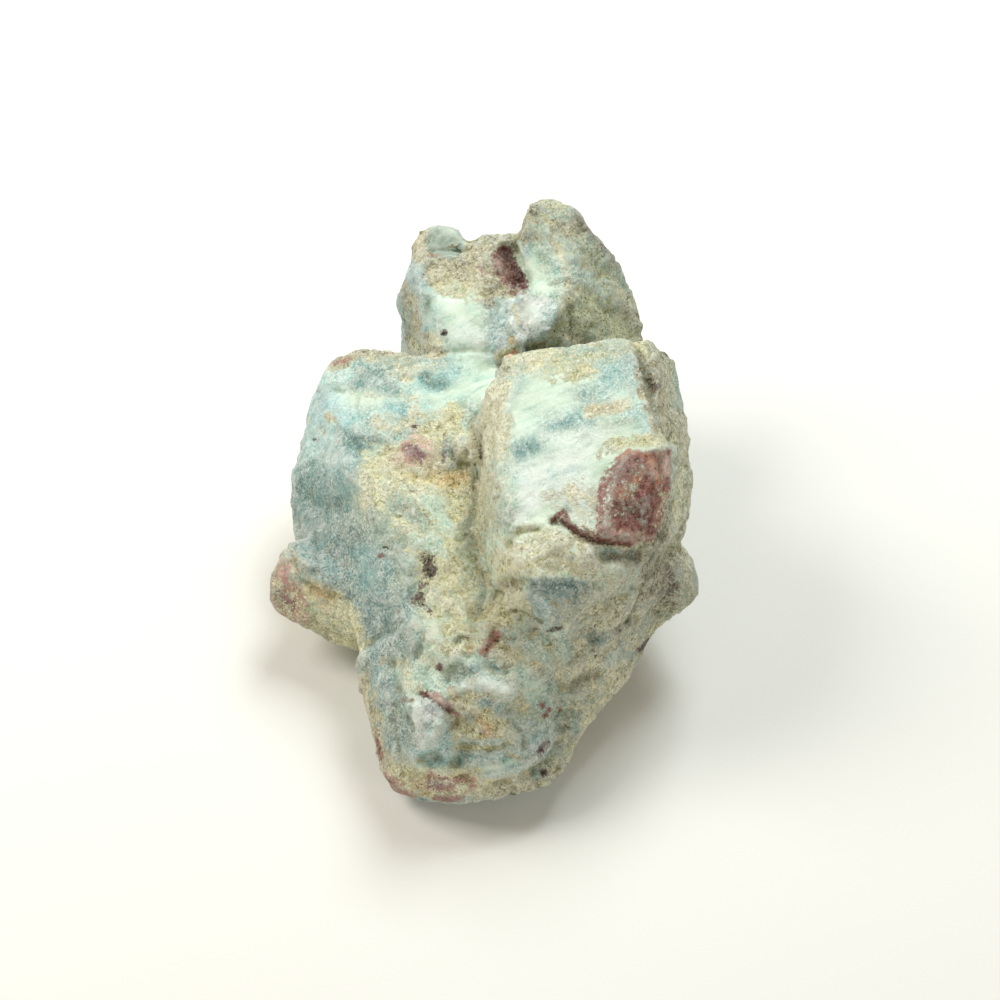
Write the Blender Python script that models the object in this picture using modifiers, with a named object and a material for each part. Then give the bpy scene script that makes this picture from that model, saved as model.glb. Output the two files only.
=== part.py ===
"""A rough larimar specimen: one broken stone, about 62 mm wide, 83 mm long and 44 mm high.

The stone is grown from angular masses, each the convex hull of its own corners. They are fused, softened
where they meet, worked with the grooves, ledges and knobs that mark them, roughened, and cut on one flat
broken face, which the stone rests on.

Lengths are in millimetres until the stone is placed. The front of the stone faces -Y. What can be seen
from the front, 50 degrees above the table, is given as a person sees it: so far right and so far up of
the stone's middle and, for a corner, so high above the table.
"""

import math

import bmesh
import bpy
import numpy as np
from mathutils import Vector
from mathutils.bvhtree import BVHTree

MM = 0.001
STONE = "larimar_stone"
COLLECTION = "Rough larimar"
STONE_COLOUR = (0.47, 0.55, 0.46, 1.0)
STONE_ROUGHNESS = 0.6

# The sight line that visible corners and marks are given on
EYE_ELEVATION = math.radians(50.0)
EYE_DISTANCE = 277.8
AIM = Vector((2.5, 0.0, 22.0))
TOWARDS_EYE = Vector((0.0, -math.cos(EYE_ELEVATION), math.sin(EYE_ELEVATION)))
EYE = AIM + TOWARDS_EYE * EYE_DISTANCE
SIGHT_UP = Vector((0.0, math.sin(EYE_ELEVATION), math.cos(EYE_ELEVATION)))

# The fused skin, and the finished solid
GRAIN = 0.8
SOFTEN_ROUNDS = 4
FACES_KEPT = 8000
BASE_CUT = 1.0

# Roughness, coarse to fine: the size of the lumps, how far they stand out, and the seed of each
LUMPS = ((9.0, 0.45, 3), (4.6, 0.3, 5), (2.4, 0.16, 8))
FACET_SIZE = 7.0
FACET_TILT = 0.065
FACET_SEED = 21


def seen(right, up, height):
    """The corner that is seen this far right and up of the stone's middle and lies this high."""
    across = AIM + Vector((right, 0.0, 0.0)) + SIGHT_UP * up
    sight = across - EYE
    return EYE + sight * ((height - EYE.z) / sight.z)


def foot():
    """The low middle of the stone, under which it is broken flat."""
    return [
        Vector((-13.0, 17.0, 0.0)), Vector((2.0, 25.0, 0.0)), Vector((13.0, 17.0, 0.0)),
        Vector((15.0, 0.0, 0.0)), Vector((12.0, -13.0, 0.0)), Vector((2.0, -23.0, 0.0)),
        Vector((-9.0, -22.0, 0.0)), Vector((-15.0, -2.0, 0.0)), Vector((-6.0, -8.0, 12.0)),
        Vector((8.0, -4.0, 12.0)), Vector((0.0, 16.0, 12.0)),
    ]


def left_lobe():
    return [
        seen(-24.0, 21.0, 26), seen(-21.2, 21.9, 28), seen(-15.0, 22.4, 31), seen(-4.0, 19.0, 31),
        seen(-26.4, 17.0, 23), seen(-29.2, 8.6, 19), seen(-30.7, 3.0, 16), seen(-30.2, -4.6, 12),
        seen(-22.5, 7.0, 26.5), seen(-4.0, 8.0, 29), seen(-18.0, -1.0, 26), seen(-14.0, -6.0, 25),
        seen(-5.0, -10.0, 24), seen(-13.0, -14.0, 22.5), seen(-20.5, -20.0, 13),
        Vector((-24.0, 22.0, 15.0)), Vector((-12.0, 18.0, 0.0)), Vector((-14.0, -4.0, 0.0)),
        Vector((-8.0, -16.0, 0.0)), Vector((2.0, 14.0, 0.0)),
    ]


def left_spur():
    return [
        seen(-31.7, -7.4, 16), seen(-33.8, -12.7, 11.5), seen(-32.6, -15.7, 9), seen(-31.2, -17.2, 7.5),
        seen(-21.0, -21.7, 6.5), seen(-28.6, -6.8, 19), seen(-20.0, -12.0, 18), Vector((-18.0, 2.0, 5.0)),
        Vector((-24.0, 2.0, 10.0)), Vector((-12.0, -16.0, 3.0)),
    ]


def cleft_floor():
    return [
        seen(-7.0, 14.0, 28), seen(-2.0, 15.5, 31.5), seen(2.0, 18.0, 33), seen(-9.0, -6.0, 22.5),
        seen(3.0, -6.0, 24), seen(-12.0, -17.0, 21), seen(8.0, -18.0, 22), Vector((-8.0, 14.0, 6.0)),
        Vector((6.0, 14.0, 6.0)), Vector((-8.0, -20.0, 4.0)), Vector((6.0, -20.0, 4.0)),
    ]


def centre_lump():
    return [
        seen(0.8, 20.4, 39.5), seen(8.5, 22.0, 43), seen(18.0, 22.8, 43.5), seen(22.8, 23.8, 41.5),
        seen(-3.8, 14.0, 36), seen(-3.5, 9.0, 34.5), seen(0.3, 14.0, 40), seen(1.0, 6.0, 38.5),
        seen(0.0, -4.5, 35), seen(12.5, -5.0, 36.2), seen(19.3, 20.0, 43), seen(21.3, 12.0, 41.5),
        seen(23.5, 8.5, 40), seen(22.0, -5.0, 32.5), seen(24.8, 2.0, 35), seen(24.0, 8.0, 39.5),
        Vector((2.0, 16.0, 0.0)), Vector((20.0, 14.0, 10.0)), Vector((16.0, -12.0, 4.0)),
        Vector((0.0, -18.0, 8.0)), Vector((14.0, 8.0, 0.0)),
    ]


def red_corner():
    return [
        seen(24.1, 7.4, 40.6), seen(21.8, 5.6, 40.4), seen(17.2, 7.2, 40.6), seen(14.8, 5.0, 39.3),
        seen(13.9, -0.5, 37.4), seen(14.0, -5.0, 35.4), seen(17.6, -6.2, 34.4), seen(22.3, -5.6, 33.6),
        seen(24.4, -1.8, 34.8), seen(25.2, 4.8, 38.0), Vector((16.0, 2.0, 20.0)), Vector((22.0, 0.0, 20.0)),
    ]


def cleft_knob():
    return [
        seen(-4.6, 10.4, 30.6), seen(-2.8, 7.5, 29.6), seen(-3.4, 5.2, 28.6), seen(-6.6, 5.2, 28.9),
        seen(-7.3, 8.0, 30.0), seen(-6.3, 10.1, 30.8), seen(-5.0, 7.6, 31.4), Vector((-5.0, 6.0, 18.0)),
    ]


def lump_root():
    """What fills the slot between the left lobe and the centre lump's back left edge."""
    return [
        seen(-3.2, 18.8, 30.8), seen(0.8, 19.4, 31.4), seen(-2.8, 15.4, 30.0), seen(-0.6, 14.4, 30.2),
        seen(1.2, 16.0, 31.4), Vector((-2.0, 14.0, 16.0)), Vector((5.0, 14.0, 16.0)), Vector((5.0, 19.0, 18.0)),
    ]


def orange_pebble():
    return [
        seen(-0.8, 17.4, 35.5), seen(0.4, 17.2, 37.2), seen(3.0, 20.8, 38.6), seen(1.8, 22.0, 37.6),
        seen(-0.5, 19.4, 36.6), Vector((1.0, 18.0, 28.0)), Vector((3.0, 20.0, 28.0)),
    ]


def waist():
    """The stone's hidden middle, between the centre lump and the peak."""
    return [
        Vector((2.0, 12.0, 3.0)), Vector((20.0, 10.0, 7.0)), Vector((2.0, 34.0, 4.0)),
        Vector((17.0, 33.0, 9.0)), Vector((4.0, 12.0, 30.0)), Vector((22.5, 12.0, 26.0)),
        Vector((20.5, 25.0, 25.0)), Vector((6.0, 30.0, 27.0)), Vector((23.0, 18.0, 15.0)),
    ]


def right_flank():
    return [
        seen(24.3, 22.8, 38), seen(25.6, 20.6, 36), seen(25.9, 16.0, 34), seen(25.9, 13.5, 33),
        seen(20.0, 21.0, 39), seen(27.4, 4.0, 27), seen(27.5, -4.0, 24), seen(23.0, 6.0, 36.5),
        seen(23.5, -6.0, 31), seen(20.0, -10.0, 28), Vector((24.0, 16.0, 14.0)), Vector((24.0, -8.0, 12.0)),
        Vector((12.0, 0.0, 0.0)), Vector((4.0, -4.0, 14.0)),
    ]


def front_shoulder():
    return [
        seen(0.6, -4.8, 34), seen(4.0, -4.2, 35), seen(14.0, -6.0, 35.5), seen(1.2, -11.0, 31.5),
        seen(7.0, -11.0, 33), seen(14.5, -10.0, 32.5), seen(1.0, -15.0, 26), seen(9.0, -17.5, 24),
        seen(16.0, -15.0, 26), seen(20.5, -8.5, 31), Vector((2.0, -10.0, 12.0)),
        Vector((18.0, -10.0, 12.0)),
    ]


def right_skirt():
    return [
        seen(24.0, -7.0, 27), seen(20.0, -12.0, 26), seen(8.0, -17.5, 24.5), seen(21.8, -20.2, 10),
        seen(17.7, -25.6, 8.5), seen(15.6, -28.4, 8.5), seen(12.4, -33.0, 8.5), seen(7.0, -21.5, 21.5),
        seen(9.0, -26.0, 17.5), seen(14.5, -20.0, 21), seen(14.5, -26.0, 14), Vector((18.0, 0.0, 4.0)),
        Vector((6.0, -24.0, 2.0)), Vector((0.0, -14.0, 8.0)), Vector((12.0, -14.0, 0.0)),
        Vector((13.0, -24.0, 2.2)),
    ]


def right_spur():
    return [
        seen(27.2, -7.6, 20), seen(28.2, -10.0, 18), seen(28.6, -13.0, 14.5), seen(28.3, -15.0, 13),
        seen(24.5, -17.0, 11.5), seen(21.5, -19.6, 10), seen(22.5, -10.0, 25), seen(20.0, -18.0, 15),
        Vector((25.0, 4.0, 10.0)), Vector((16.0, 0.0, 4.0)), Vector((14.0, -16.0, 4.0)),
    ]


def near_lobe():
    return [
        seen(-20.6, -22.0, 13), seen(-20.4, -27.0, 11), seen(-19.4, -31.0, 10), seen(-17.2, -38.0, 8),
        seen(-17.3, -40.0, 6.5), seen(-9.5, -44.4, 6), seen(-4.0, -43.8, 7), seen(3.0, -38.8, 10),
        seen(6.5, -35.0, 12), seen(8.6, -28.5, 15), seen(8.0, -23.0, 18.5), seen(-13.0, -18.0, 21.5),
        seen(-4.0, -18.5, 22.5), seen(5.0, -20.0, 21.5), seen(-12.0, -27.5, 18.5), seen(-3.0, -29.0, 19),
        seen(4.5, -28.0, 18), seen(-10.0, -36.5, 13), seen(0.0, -36.5, 13), Vector((-10.0, -22.0, 0.0)),
        Vector((0.0, -24.0, 0.0)), Vector((-10.0, -4.0, 0.0)), Vector((-11.0, -34.0, 1.8)),
        Vector((-3.0, -35.5, 1.6)), Vector((4.0, -33.5, 1.8)),
    ]


def near_boulder():
    return [
        seen(-11.9, -27.6, 20.0), seen(-9.0, -29.4, 19.8), seen(-6.6, -32.0, 18.2), seen(-8.2, -35.4, 15.8),
        seen(-13.6, -35.0, 13.8), seen(-15.3, -31.0, 15.4), seen(-14.2, -28.6, 18.2),
        Vector((-10.0, -22.0, 6.0)),
    ]


def left_knob():
    return [
        seen(-13.4, -17.0, 21.8), seen(-10.6, -15.8, 23.2), seen(-8.7, -18.4, 23.4),
        seen(-9.0, -22.2, 21.8), seen(-12.0, -23.0, 21.0), seen(-14.2, -20.0, 20.8),
        Vector((-10.0, -10.0, 10.0)),
    ]


def middle_knob():
    return [
        seen(-8.4, -19.4, 22.6), seen(-6.0, -19.0, 23.2), seen(-4.1, -20.2, 23.0), seen(-4.4, -23.2, 22.0),
        seen(-7.6, -23.8, 21.6), Vector((-5.0, -12.0, 10.0)),
    ]


def white_crest():
    return [
        seen(-5.2, -24.4, 21.8), seen(0.0, -24.4, 21.9), seen(3.7, -25.3, 20.8), seen(1.6, -28.4, 19.8),
        seen(-3.6, -27.8, 20.5), Vector((0.0, -12.0, 10.0)),
    ]


def near_skirt():
    return [
        seen(-4.0, -43.2, 6), seen(2.0, -43.5, 6.5), seen(6.6, -42.2, 7), seen(9.8, -39.0, 8),
        seen(10.8, -35.5, 9), seen(13.0, -31.2, 9.5), seen(7.5, -34.0, 11.5), seen(9.5, -28.5, 13.5),
        seen(3.0, -39.0, 9), Vector((-2.0, -26.0, 1.5)), Vector((8.0, -24.0, 2.0)),
        Vector((0.0, -12.0, 1.0)), Vector((3.0, -35.0, 1.8)), Vector((9.0, -30.0, 2.0)),
    ]


def back_left_block():
    return [
        seen(-14.9, 31.0, 32), seen(-14.2, 33.6, 33.5), seen(-12.4, 35.6, 36), seen(-4.0, 34.2, 38),
        seen(1.0, 34.5, 38), seen(-14.0, 26.0, 27), seen(-13.6, 22.5, 24), seen(-7.0, 15.0, 29),
        seen(0.0, 18.0, 31), seen(2.5, 29.0, 36), seen(-10.5, 30.5, 36), seen(-2.0, 24.0, 34.5),
        Vector((-13.0, 36.0, 14.0)), Vector((-4.0, 28.0, 0.0)), Vector((6.0, 38.0, 8.0)),
        Vector((-8.0, 18.0, 4.0)),
    ]


def back_bulge():
    """The low broken bulge at the back, out of sight from the front."""
    return [
        Vector((-10.0, 30.0, 3.0)), Vector((13.0, 30.0, 3.0)), Vector((-6.0, 41.0, 8.0)),
        Vector((9.0, 42.5, 10.0)), Vector((-8.0, 38.0, 19.0)), Vector((2.0, 42.8, 21.0)),
        Vector((12.0, 39.0, 17.0)),
    ]


def green_tooth():
    return [
        seen(-13.2, 37.6, 35), seen(-11.4, 39.2, 36), seen(-8.8, 40.6, 38), seen(-6.2, 40.6, 38),
        seen(-4.4, 37.6, 36), seen(-12.6, 33.0, 34), seen(-5.0, 33.6, 34), Vector((-9.0, 37.0, 20.0)),
        Vector((-3.0, 37.0, 20.0)),
    ]


def tan_tooth():
    return [
        seen(-5.0, 36.4, 36), seen(-2.8, 38.0, 37), seen(-1.2, 38.7, 38), seen(2.6, 38.5, 38.5),
        seen(-4.5, 34.0, 36), seen(2.8, 35.0, 37), Vector((-4.0, 39.0, 18.0)), Vector((5.0, 40.0, 18.0)),
    ]


def back_peak():
    return [
        seen(2.5, 39.2, 41.5), seen(3.3, 41.8, 43.2), seen(6.6, 43.8, 45), seen(9.5, 43.3, 45),
        seen(11.0, 41.8, 44), seen(14.6, 37.2, 40), seen(17.0, 34.4, 37), seen(17.3, 30.8, 34),
        seen(20.1, 26.6, 30), seen(22.4, 23.2, 27), seen(1.7, 35.5, 39.8), seen(3.9, 31.6, 37.4),
        seen(4.3, 29.3, 36.2), seen(10.0, 29.3, 36.8), seen(14.2, 30.0, 35.4), seen(15.0, 22.0, 29.5),
        Vector((4.0, 40.0, 18.0)), Vector((14.0, 38.0, 12.0)), Vector((22.0, 26.0, 10.0)),
        Vector((6.0, 26.0, 0.0)), Vector((14.0, 18.0, 0.0)), Vector((4.0, 16.0, 8.0)),
    ]


def peak_foot():
    return [
        seen(1.0, 29.2, 36.4), seen(4.4, 29.8, 37.4), seen(9.6, 29.4, 37.8), seen(9.7, 26.6, 36.8),
        seen(7.0, 24.0, 35.0), seen(1.2, 22.6, 33.6), seen(1.4, 26.0, 35.8), Vector((4.0, 30.0, 10.0)),
        Vector((12.0, 26.0, 10.0)), Vector((4.0, 14.0, 14.0)), Vector((12.0, 14.0, 14.0)),
    ]


MASSES = (foot, left_lobe, left_spur, cleft_floor, cleft_knob, centre_lump, red_corner, lump_root,
          orange_pebble, waist, right_flank, front_shoulder, right_skirt, right_spur, near_lobe,
          near_boulder, left_knob, middle_knob, white_crest, near_skirt, back_left_block, back_bulge,
          green_tooth, tan_tooth, back_peak, peak_foot)


def clear_scene():
    for thing in list(bpy.data.objects):
        bpy.data.objects.remove(thing, do_unlink=True)


def hull_into(surface, corners):
    """Adds the convex hull of the corners to the surface."""
    points = [surface.verts.new(corner) for corner in corners]
    made = bmesh.ops.convex_hull(surface, input=points)
    spare = [item for item in made["geom_interior"] if isinstance(item, bmesh.types.BMVert)]
    bmesh.ops.delete(surface, geom=spare, context="VERTS")


def fused_masses(name):
    """One object with every mass's hull in it, fused and softened into a single skin."""
    surface = bmesh.new()
    for mass in MASSES:
        hull_into(surface, mass())
    mesh = bpy.data.meshes.new(name)
    surface.to_mesh(mesh)
    surface.free()
    stone = bpy.data.objects.new(name, mesh)
    specimen = bpy.data.collections.new(COLLECTION)
    bpy.context.scene.collection.children.link(specimen)
    specimen.objects.link(stone)
    skin = stone.modifiers.new("One skin", "REMESH")
    skin.mode = "VOXEL"
    skin.voxel_size = GRAIN
    soft = stone.modifiers.new("Softened", "SMOOTH")
    soft.factor = 0.5
    soft.iterations = SOFTEN_ROUNDS
    return stone


def applied(stone):
    """Makes the stone's mesh what its modifiers give."""
    graph = bpy.context.evaluated_depsgraph_get()
    mesh = bpy.data.meshes.new_from_object(stone.evaluated_get(graph))
    old = stone.data
    stone.modifiers.clear()
    stone.data = mesh
    bpy.data.meshes.remove(old)


def read_points(mesh, kind):
    """The mesh's vertex places, or their normals, as one row of three numbers each."""
    values = np.empty(len(mesh.vertices) * 3, np.float32)
    mesh.vertices.foreach_get(kind, values)
    return values.reshape(-1, 3).astype(np.float64)


def lattice_values(cells, seed):
    """A repeatable number from -1 to 1 for each whole-numbered cell."""
    mixed = (cells[..., 0] * 374761393 + cells[..., 1] * 668265263 + cells[..., 2] * 2147483647
             + seed * 1274126177) & 0xFFFFFFFF
    mixed = ((mixed ^ (mixed >> 13)) * 1103515245) & 0xFFFFFFFF
    mixed = ((mixed ^ (mixed >> 16)) * 2246822519) & 0xFFFFFFFF
    return (mixed ^ (mixed >> 15)) / 0x7FFFFFFF - 1.0


def smooth_noise(points, size, seed):
    """Values from -1 to 1 that change smoothly over this size: cell corners' values, eased between."""
    scaled = points / size
    cell = np.floor(scaled).astype(np.int64)
    part = scaled - cell
    eased = part * part * (3.0 - 2.0 * part)
    total = np.zeros(len(points))
    for corner in np.ndindex(2, 2, 2):
        share = np.prod(np.where(corner, eased, 1.0 - eased), axis=1)
        total += share * lattice_values(cell + np.array(corner), seed)
    return total


def facets(points, size, seed):
    """Broken facets: each point takes the tilt of its nearest scattered seed, times its distance from it."""
    cell = np.floor(points / size).astype(np.int64)
    nearest = np.full(len(points), np.inf)
    height = np.zeros(len(points))
    for step in np.ndindex(3, 3, 3):
        home = cell + np.array(step) - 1
        jitter = np.stack([lattice_values(home, seed + axis) for axis in range(3)], axis=1)
        tilt = np.stack([lattice_values(home, seed + 3 + axis) for axis in range(3)], axis=1)
        away = points - (home + 0.5 + 0.45 * jitter) * size
        distance = np.linalg.norm(away, axis=1)
        closer = distance < nearest
        nearest = np.where(closer, distance, nearest)
        height = np.where(closer, np.sum(away * tilt, axis=1), height)
    return height


def roughened(points, normals):
    """Moves the points along their normals by the lumps and the facets."""
    out = facets(points, FACET_SIZE, FACET_SEED) * FACET_TILT
    for size, reach, seed in LUMPS:
        out += smooth_noise(points, size, seed) * reach
    return points + normals * out[:, None]


def on_face(tree, right, up):
    """Where the sight line this far right and up of the stone's middle meets the stone."""
    across = AIM + Vector((right, 0.0, 0.0)) + SIGHT_UP * up
    place = tree.ray_cast(EYE, (across - EYE).normalized())[0]
    if place is None:
        raise ValueError(f"nothing is seen {right} right and {up} up")
    return np.array(place)


def distance_to_line(points, line):
    """Each point's distance to a line through several places."""
    best = np.full(len(points), np.inf)
    for start, end in zip(line, line[1:]):
        along = end - start
        share = np.clip((points - start) @ along / max(along @ along, 1e-9), 0.0, 1.0)
        best = np.minimum(best, np.linalg.norm(points - start - share[:, None] * along, axis=1))
    return best


def worked(points, normals, tree, marks):
    """Presses grooves into the skin, or raises ridges from it, along each mark."""
    out = np.zeros(len(points))
    for path, width, depth in marks:
        line = [on_face(tree, right, up) for right, up in path]
        if len(line) == 1:
            line = line * 2
        share = np.clip(1.0 - distance_to_line(points, line) / width, 0.0, 1.0)
        out -= depth * share * share * (3.0 - 2.0 * share)
    return points + normals * out[:, None]


# Each mark: the places it runs through, right and up; its half width; and how deep it is pressed in
MARKS = (
    # the cleft between the left lobe and the centre lump
    (((-3.4, 12.0), (-4.6, 4.0), (-3.4, -2.0), (-3.0, -10.0), (-3.2, -15.0)), 2.6, 1.2),
    # the dark red pocket between the block and the peak
    (((1.4, 35.0), (2.4, 32.0), (2.8, 30.2)), 2.8, 1.8),
    # the groove below it
    (((-0.4, 27.5), (0.6, 22.0), (-0.6, 18.5)), 2.2, 1.2),
    # the undercut crack under the red facet
    (((8.4, -2.6), (10.5, -4.6), (13.0, -6.2), (17.0, -7.2)), 1.9, 1.3),
    # the crack that parts the top face from the shoulder
    (((0.3, -6.6), (2.0, -4.6), (5.0, -4.4)), 1.6, 0.9),
    # the recess beside the peak's foot
    (((8.8, 24.6),), 1.9, 1.4),
    # the notch at the lump's back right corner
    (((21.0, 18.5), (22.0, 13.0), (23.6, 9.8)), 2.2, 1.3),
    # the hollows under the shoulder
    (((-0.6, -12.5), (2.0, -13.0)), 2.0, 1.0),
    (((15.0, -15.0), (19.0, -14.2)), 2.6, 1.2),
    # folds of the near lobe
    (((-10.0, -27.6), (-6.5, -31.0), (-6.0, -34.0)), 2.0, 0.9),
    (((-13.5, -29.0), (-9.0, -31.0), (-11.0, -34.5)), 2.6, -1.0),
    (((-10.0, -36.4), (-5.5, -36.2)), 2.2, 0.9),
    (((-13.0, -19.5), (-11.0, -22.0)), 2.0, 0.7),
    (((-6.0, -19.6), (-4.5, -19.8)), 1.5, 1.0),
    (((8.0, -21.0), (9.0, -26.0), (8.6, -31.0), (6.5, -36.0)), 1.6, 0.8),
    # the step between the upper face and the tan face of the left lobe
    (((-22.0, 6.0), (-19.0, 1.0), (-15.5, -3.0)), 2.4, -0.7),
    (((-20.0, 9.0), (-14.0, 8.0), (-8.0, 11.5)), 2.4, 0.6),
    # the dark pit of the left lobe's foot
    (((-10.5, -9.5), (-11.5, -13.0)), 2.0, 0.8),
)


def set_points(mesh, points):
    mesh.vertices.foreach_set("co", points.astype(np.float32).ravel())
    mesh.update()


def shape(stone):
    """Works the marks and the roughness into the fused skin."""
    mesh = stone.data
    tree = BVHTree.FromObject(stone, bpy.context.evaluated_depsgraph_get())
    points = worked(read_points(mesh, "co"), read_points(mesh, "normal"), tree, MARKS)
    set_points(mesh, points)
    set_points(mesh, roughened(points, read_points(mesh, "normal")))


def thin_out(stone):
    """Keeps the faces that the solid's form needs."""
    mesh = stone.data
    mesh.calc_loop_triangles()
    fewer = stone.modifiers.new("Fewer faces", "DECIMATE")
    fewer.ratio = FACES_KEPT / len(mesh.loop_triangles)
    fewer.use_collapse_triangulate = True
    applied(stone)


def set_down(stone):
    """Cuts the flat broken face that the stone rests on, and stands the stone over the origin."""
    surface = bmesh.new()
    surface.from_mesh(stone.data)
    everything = surface.verts[:] + surface.edges[:] + surface.faces[:]
    cut = bmesh.ops.bisect_plane(surface, geom=everything, plane_co=(0.0, 0.0, BASE_CUT),
                                 plane_no=(0.0, 0.0, 1.0), clear_inner=True)
    rim = [item for item in cut["geom_cut"] if isinstance(item, bmesh.types.BMEdge)]
    bmesh.ops.contextual_create(surface, geom=rim)
    bmesh.ops.triangulate(surface, faces=[face for face in surface.faces if len(face.verts) > 3])
    surface.to_mesh(stone.data)
    surface.free()
    points = read_points(stone.data, "co")
    low, high = points.min(axis=0), points.max(axis=0)
    set_points(stone.data, points * MM)
    stone.location = (-MM * (low[0] + high[0]) / 2, -MM * (low[1] + high[1]) / 2, -MM * BASE_CUT)


def stone_material():
    """Pale blue-green stone, waxy to dull."""
    material = bpy.data.materials.new("Larimar")
    material.use_nodes = True
    surface = material.node_tree.nodes["Principled BSDF"]
    surface.inputs["Base Color"].default_value = STONE_COLOUR
    surface.inputs["Roughness"].default_value = STONE_ROUGHNESS
    surface.inputs["Metallic"].default_value = 0.0
    return material


def main():
    clear_scene()
    stone = fused_masses(STONE)
    applied(stone)
    shape(stone)
    thin_out(stone)
    set_down(stone)
    stone.data.materials.append(stone_material())


main()
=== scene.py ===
"""A lump of rough larimar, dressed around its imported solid.

The stone's fine skin is worked out from the solid as whole arrays: it is evened, its faces, cracks, ledges
and pits are cut where they are seen, and its crust and its waxy larimar get their own grain. The colours
are painted in strokes along the same sight line and kept on the skin, where the material reads them.
"""

import math

import bmesh
import bpy
import numpy as np
from bpy.props import FloatProperty, FloatVectorProperty, PointerProperty
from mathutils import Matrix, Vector
from mathutils.bvhtree import BVHTree


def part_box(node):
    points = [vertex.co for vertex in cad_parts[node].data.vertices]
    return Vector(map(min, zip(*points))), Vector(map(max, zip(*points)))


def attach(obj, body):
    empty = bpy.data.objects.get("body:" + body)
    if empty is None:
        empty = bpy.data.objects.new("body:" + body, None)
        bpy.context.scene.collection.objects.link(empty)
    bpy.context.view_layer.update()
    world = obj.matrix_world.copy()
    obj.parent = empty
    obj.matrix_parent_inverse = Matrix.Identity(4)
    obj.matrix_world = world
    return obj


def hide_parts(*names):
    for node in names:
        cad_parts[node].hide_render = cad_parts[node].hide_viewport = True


bl_info = {
    "name": "Rough larimar",
    "version": (1, 0, 0),
    "blender": (4, 5, 0),
    "location": "View3D > Sidebar > Larimar",
    "description": "Dresses a rough larimar stone and sets its stage",
    "category": "Object",
}

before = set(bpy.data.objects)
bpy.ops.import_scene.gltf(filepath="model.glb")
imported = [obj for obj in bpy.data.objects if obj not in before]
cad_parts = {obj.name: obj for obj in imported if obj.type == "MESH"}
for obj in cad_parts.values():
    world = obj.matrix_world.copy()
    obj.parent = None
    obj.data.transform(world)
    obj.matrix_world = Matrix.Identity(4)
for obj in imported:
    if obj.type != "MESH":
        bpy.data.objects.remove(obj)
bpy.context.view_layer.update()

MM = 0.001
STONE = "larimar_stone"

# The sight line that the stone is seen, cut and painted along: lengths in millimetres, places on it in
# pixels of a 1000 by 1000 picture
PICTURE = 1000
ELEVATION = math.radians(50.0)
DISTANCE = 277.8
LENS = 70.0
SENSOR = 36.0
FOCAL = LENS / SENSOR * PICTURE
PX_PER_MM = FOCAL / DISTANCE
SEEN_MIDDLE = PICTURE / 2
AIM = np.array((2.77, -1.06, 21.0))
BACK = np.array((0.0, -math.cos(ELEVATION), math.sin(ELEVATION)))
RIGHT = np.array((1.0, 0.0, 0.0))
UP = np.cross(BACK, RIGHT)
EYE = AIM + BACK * DISTANCE
STONE_MIDDLE = (490, 510)
# How far a sight line beside the stone is drawn in at most, in pixels
DRAWN_IN = 24
# How far past edge-on the skin still counts as facing the eye, as a cosine
PAST_EDGE = 0.35
# How far cuts and strokes reach into the stone past their own width, and how far the depth of an outline
# fades, in millimetres
CUT_REACH = 2.5
STROKE_REACH = 2.0
OUTLINE_FADE = 2.0
# Over how many of its widths a cut runs out
CUT_SPREAD = 1.4
# Over what share of its width a stroke eases, how far the noise wears a stroke's and an outline's edge, and
# the widest stroke, in pixels, whose width counts for that
STROKE_EASE = 0.8
STROKE_WEAR = 0.22
OUTLINE_WEAR = 0.15
WORN_WIDTH = 24
# Where the skin counts as stretched, as its edges' length in steps, and over how much more that eases in
STRETCHED = 1.15
STRETCH_EASE = 0.5
# How far a grain's seed lies from the middle of its cell at most, in cells
SCATTER = 0.45
# What stands in where a division would be by zero
TINY = 1e-9

CORNERS = tuple(np.ndindex(2, 2, 2))
AROUND = tuple(np.ndindex(3, 3, 3))


# Noise, as whole arrays

def eased(share):
    """0 below 0, 1 above 1 and 3s^2 - 2s^3 between."""
    share = np.clip(share, 0.0, 1.0)
    return share * share * (3.0 - 2.0 * share)


def hashed(cells, seed):
    """A repeatable number from -1 to 1 for each whole-numbered cell, from its mixed bits."""
    bits = (cells[..., 0] * 374761393 + cells[..., 1] * 668265263 + cells[..., 2] * 2147483647
            + seed * 1274126177) & 0xFFFFFFFF
    bits = ((bits ^ (bits >> 13)) * 1103515245) & 0xFFFFFFFF
    bits = ((bits ^ (bits >> 16)) * 2246822519) & 0xFFFFFFFF
    return (bits ^ (bits >> 15)) / 0x7FFFFFFF - 1.0


def swell(points, size, seed):
    """Values from -1 to 1 that change smoothly over this size: cell corners' values, eased between."""
    places = points / size
    cell = np.floor(places).astype(np.int64)
    part = eased(places - cell)
    total = np.zeros(len(points))
    for corner in CORNERS:
        share = np.prod(np.where(corner, part, 1.0 - part), axis=1)
        total += share * hashed(cell + np.array(corner), seed)
    return total


def clouds(points, size, seed, octaves=3):
    """Swells summed over halving sizes and strengths."""
    total = np.zeros(len(points))
    for octave in range(octaves):
        total += swell(points, size / 2 ** octave, seed + octave) / 2 ** octave
    return total


def grains(points, size, seed):
    """Scattered seeds, one to a cell: the distance to the nearest, in sizes; that seed's own number; and
    its tilt times the way from it, a broken facet's height in sizes."""
    cell = np.floor(points / size).astype(np.int64)
    near = np.full(len(points), np.inf)
    number = np.zeros(len(points))
    tilted = np.zeros(len(points))
    for step in AROUND:
        home = cell + np.array(step) - 1
        jitter = np.stack([hashed(home, seed + axis) for axis in range(3)], axis=1)
        away = points / size - (home + 0.5 + SCATTER * jitter)
        distance = np.linalg.norm(away, axis=1)
        closer = distance < near
        near = np.where(closer, distance, near)
        number = np.where(closer, hashed(home, seed + 7), number)
        tilted = np.where(closer, np.sum(away * jitter, axis=1), tilted)
    return near, number, tilted


# Places on the sight line

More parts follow.
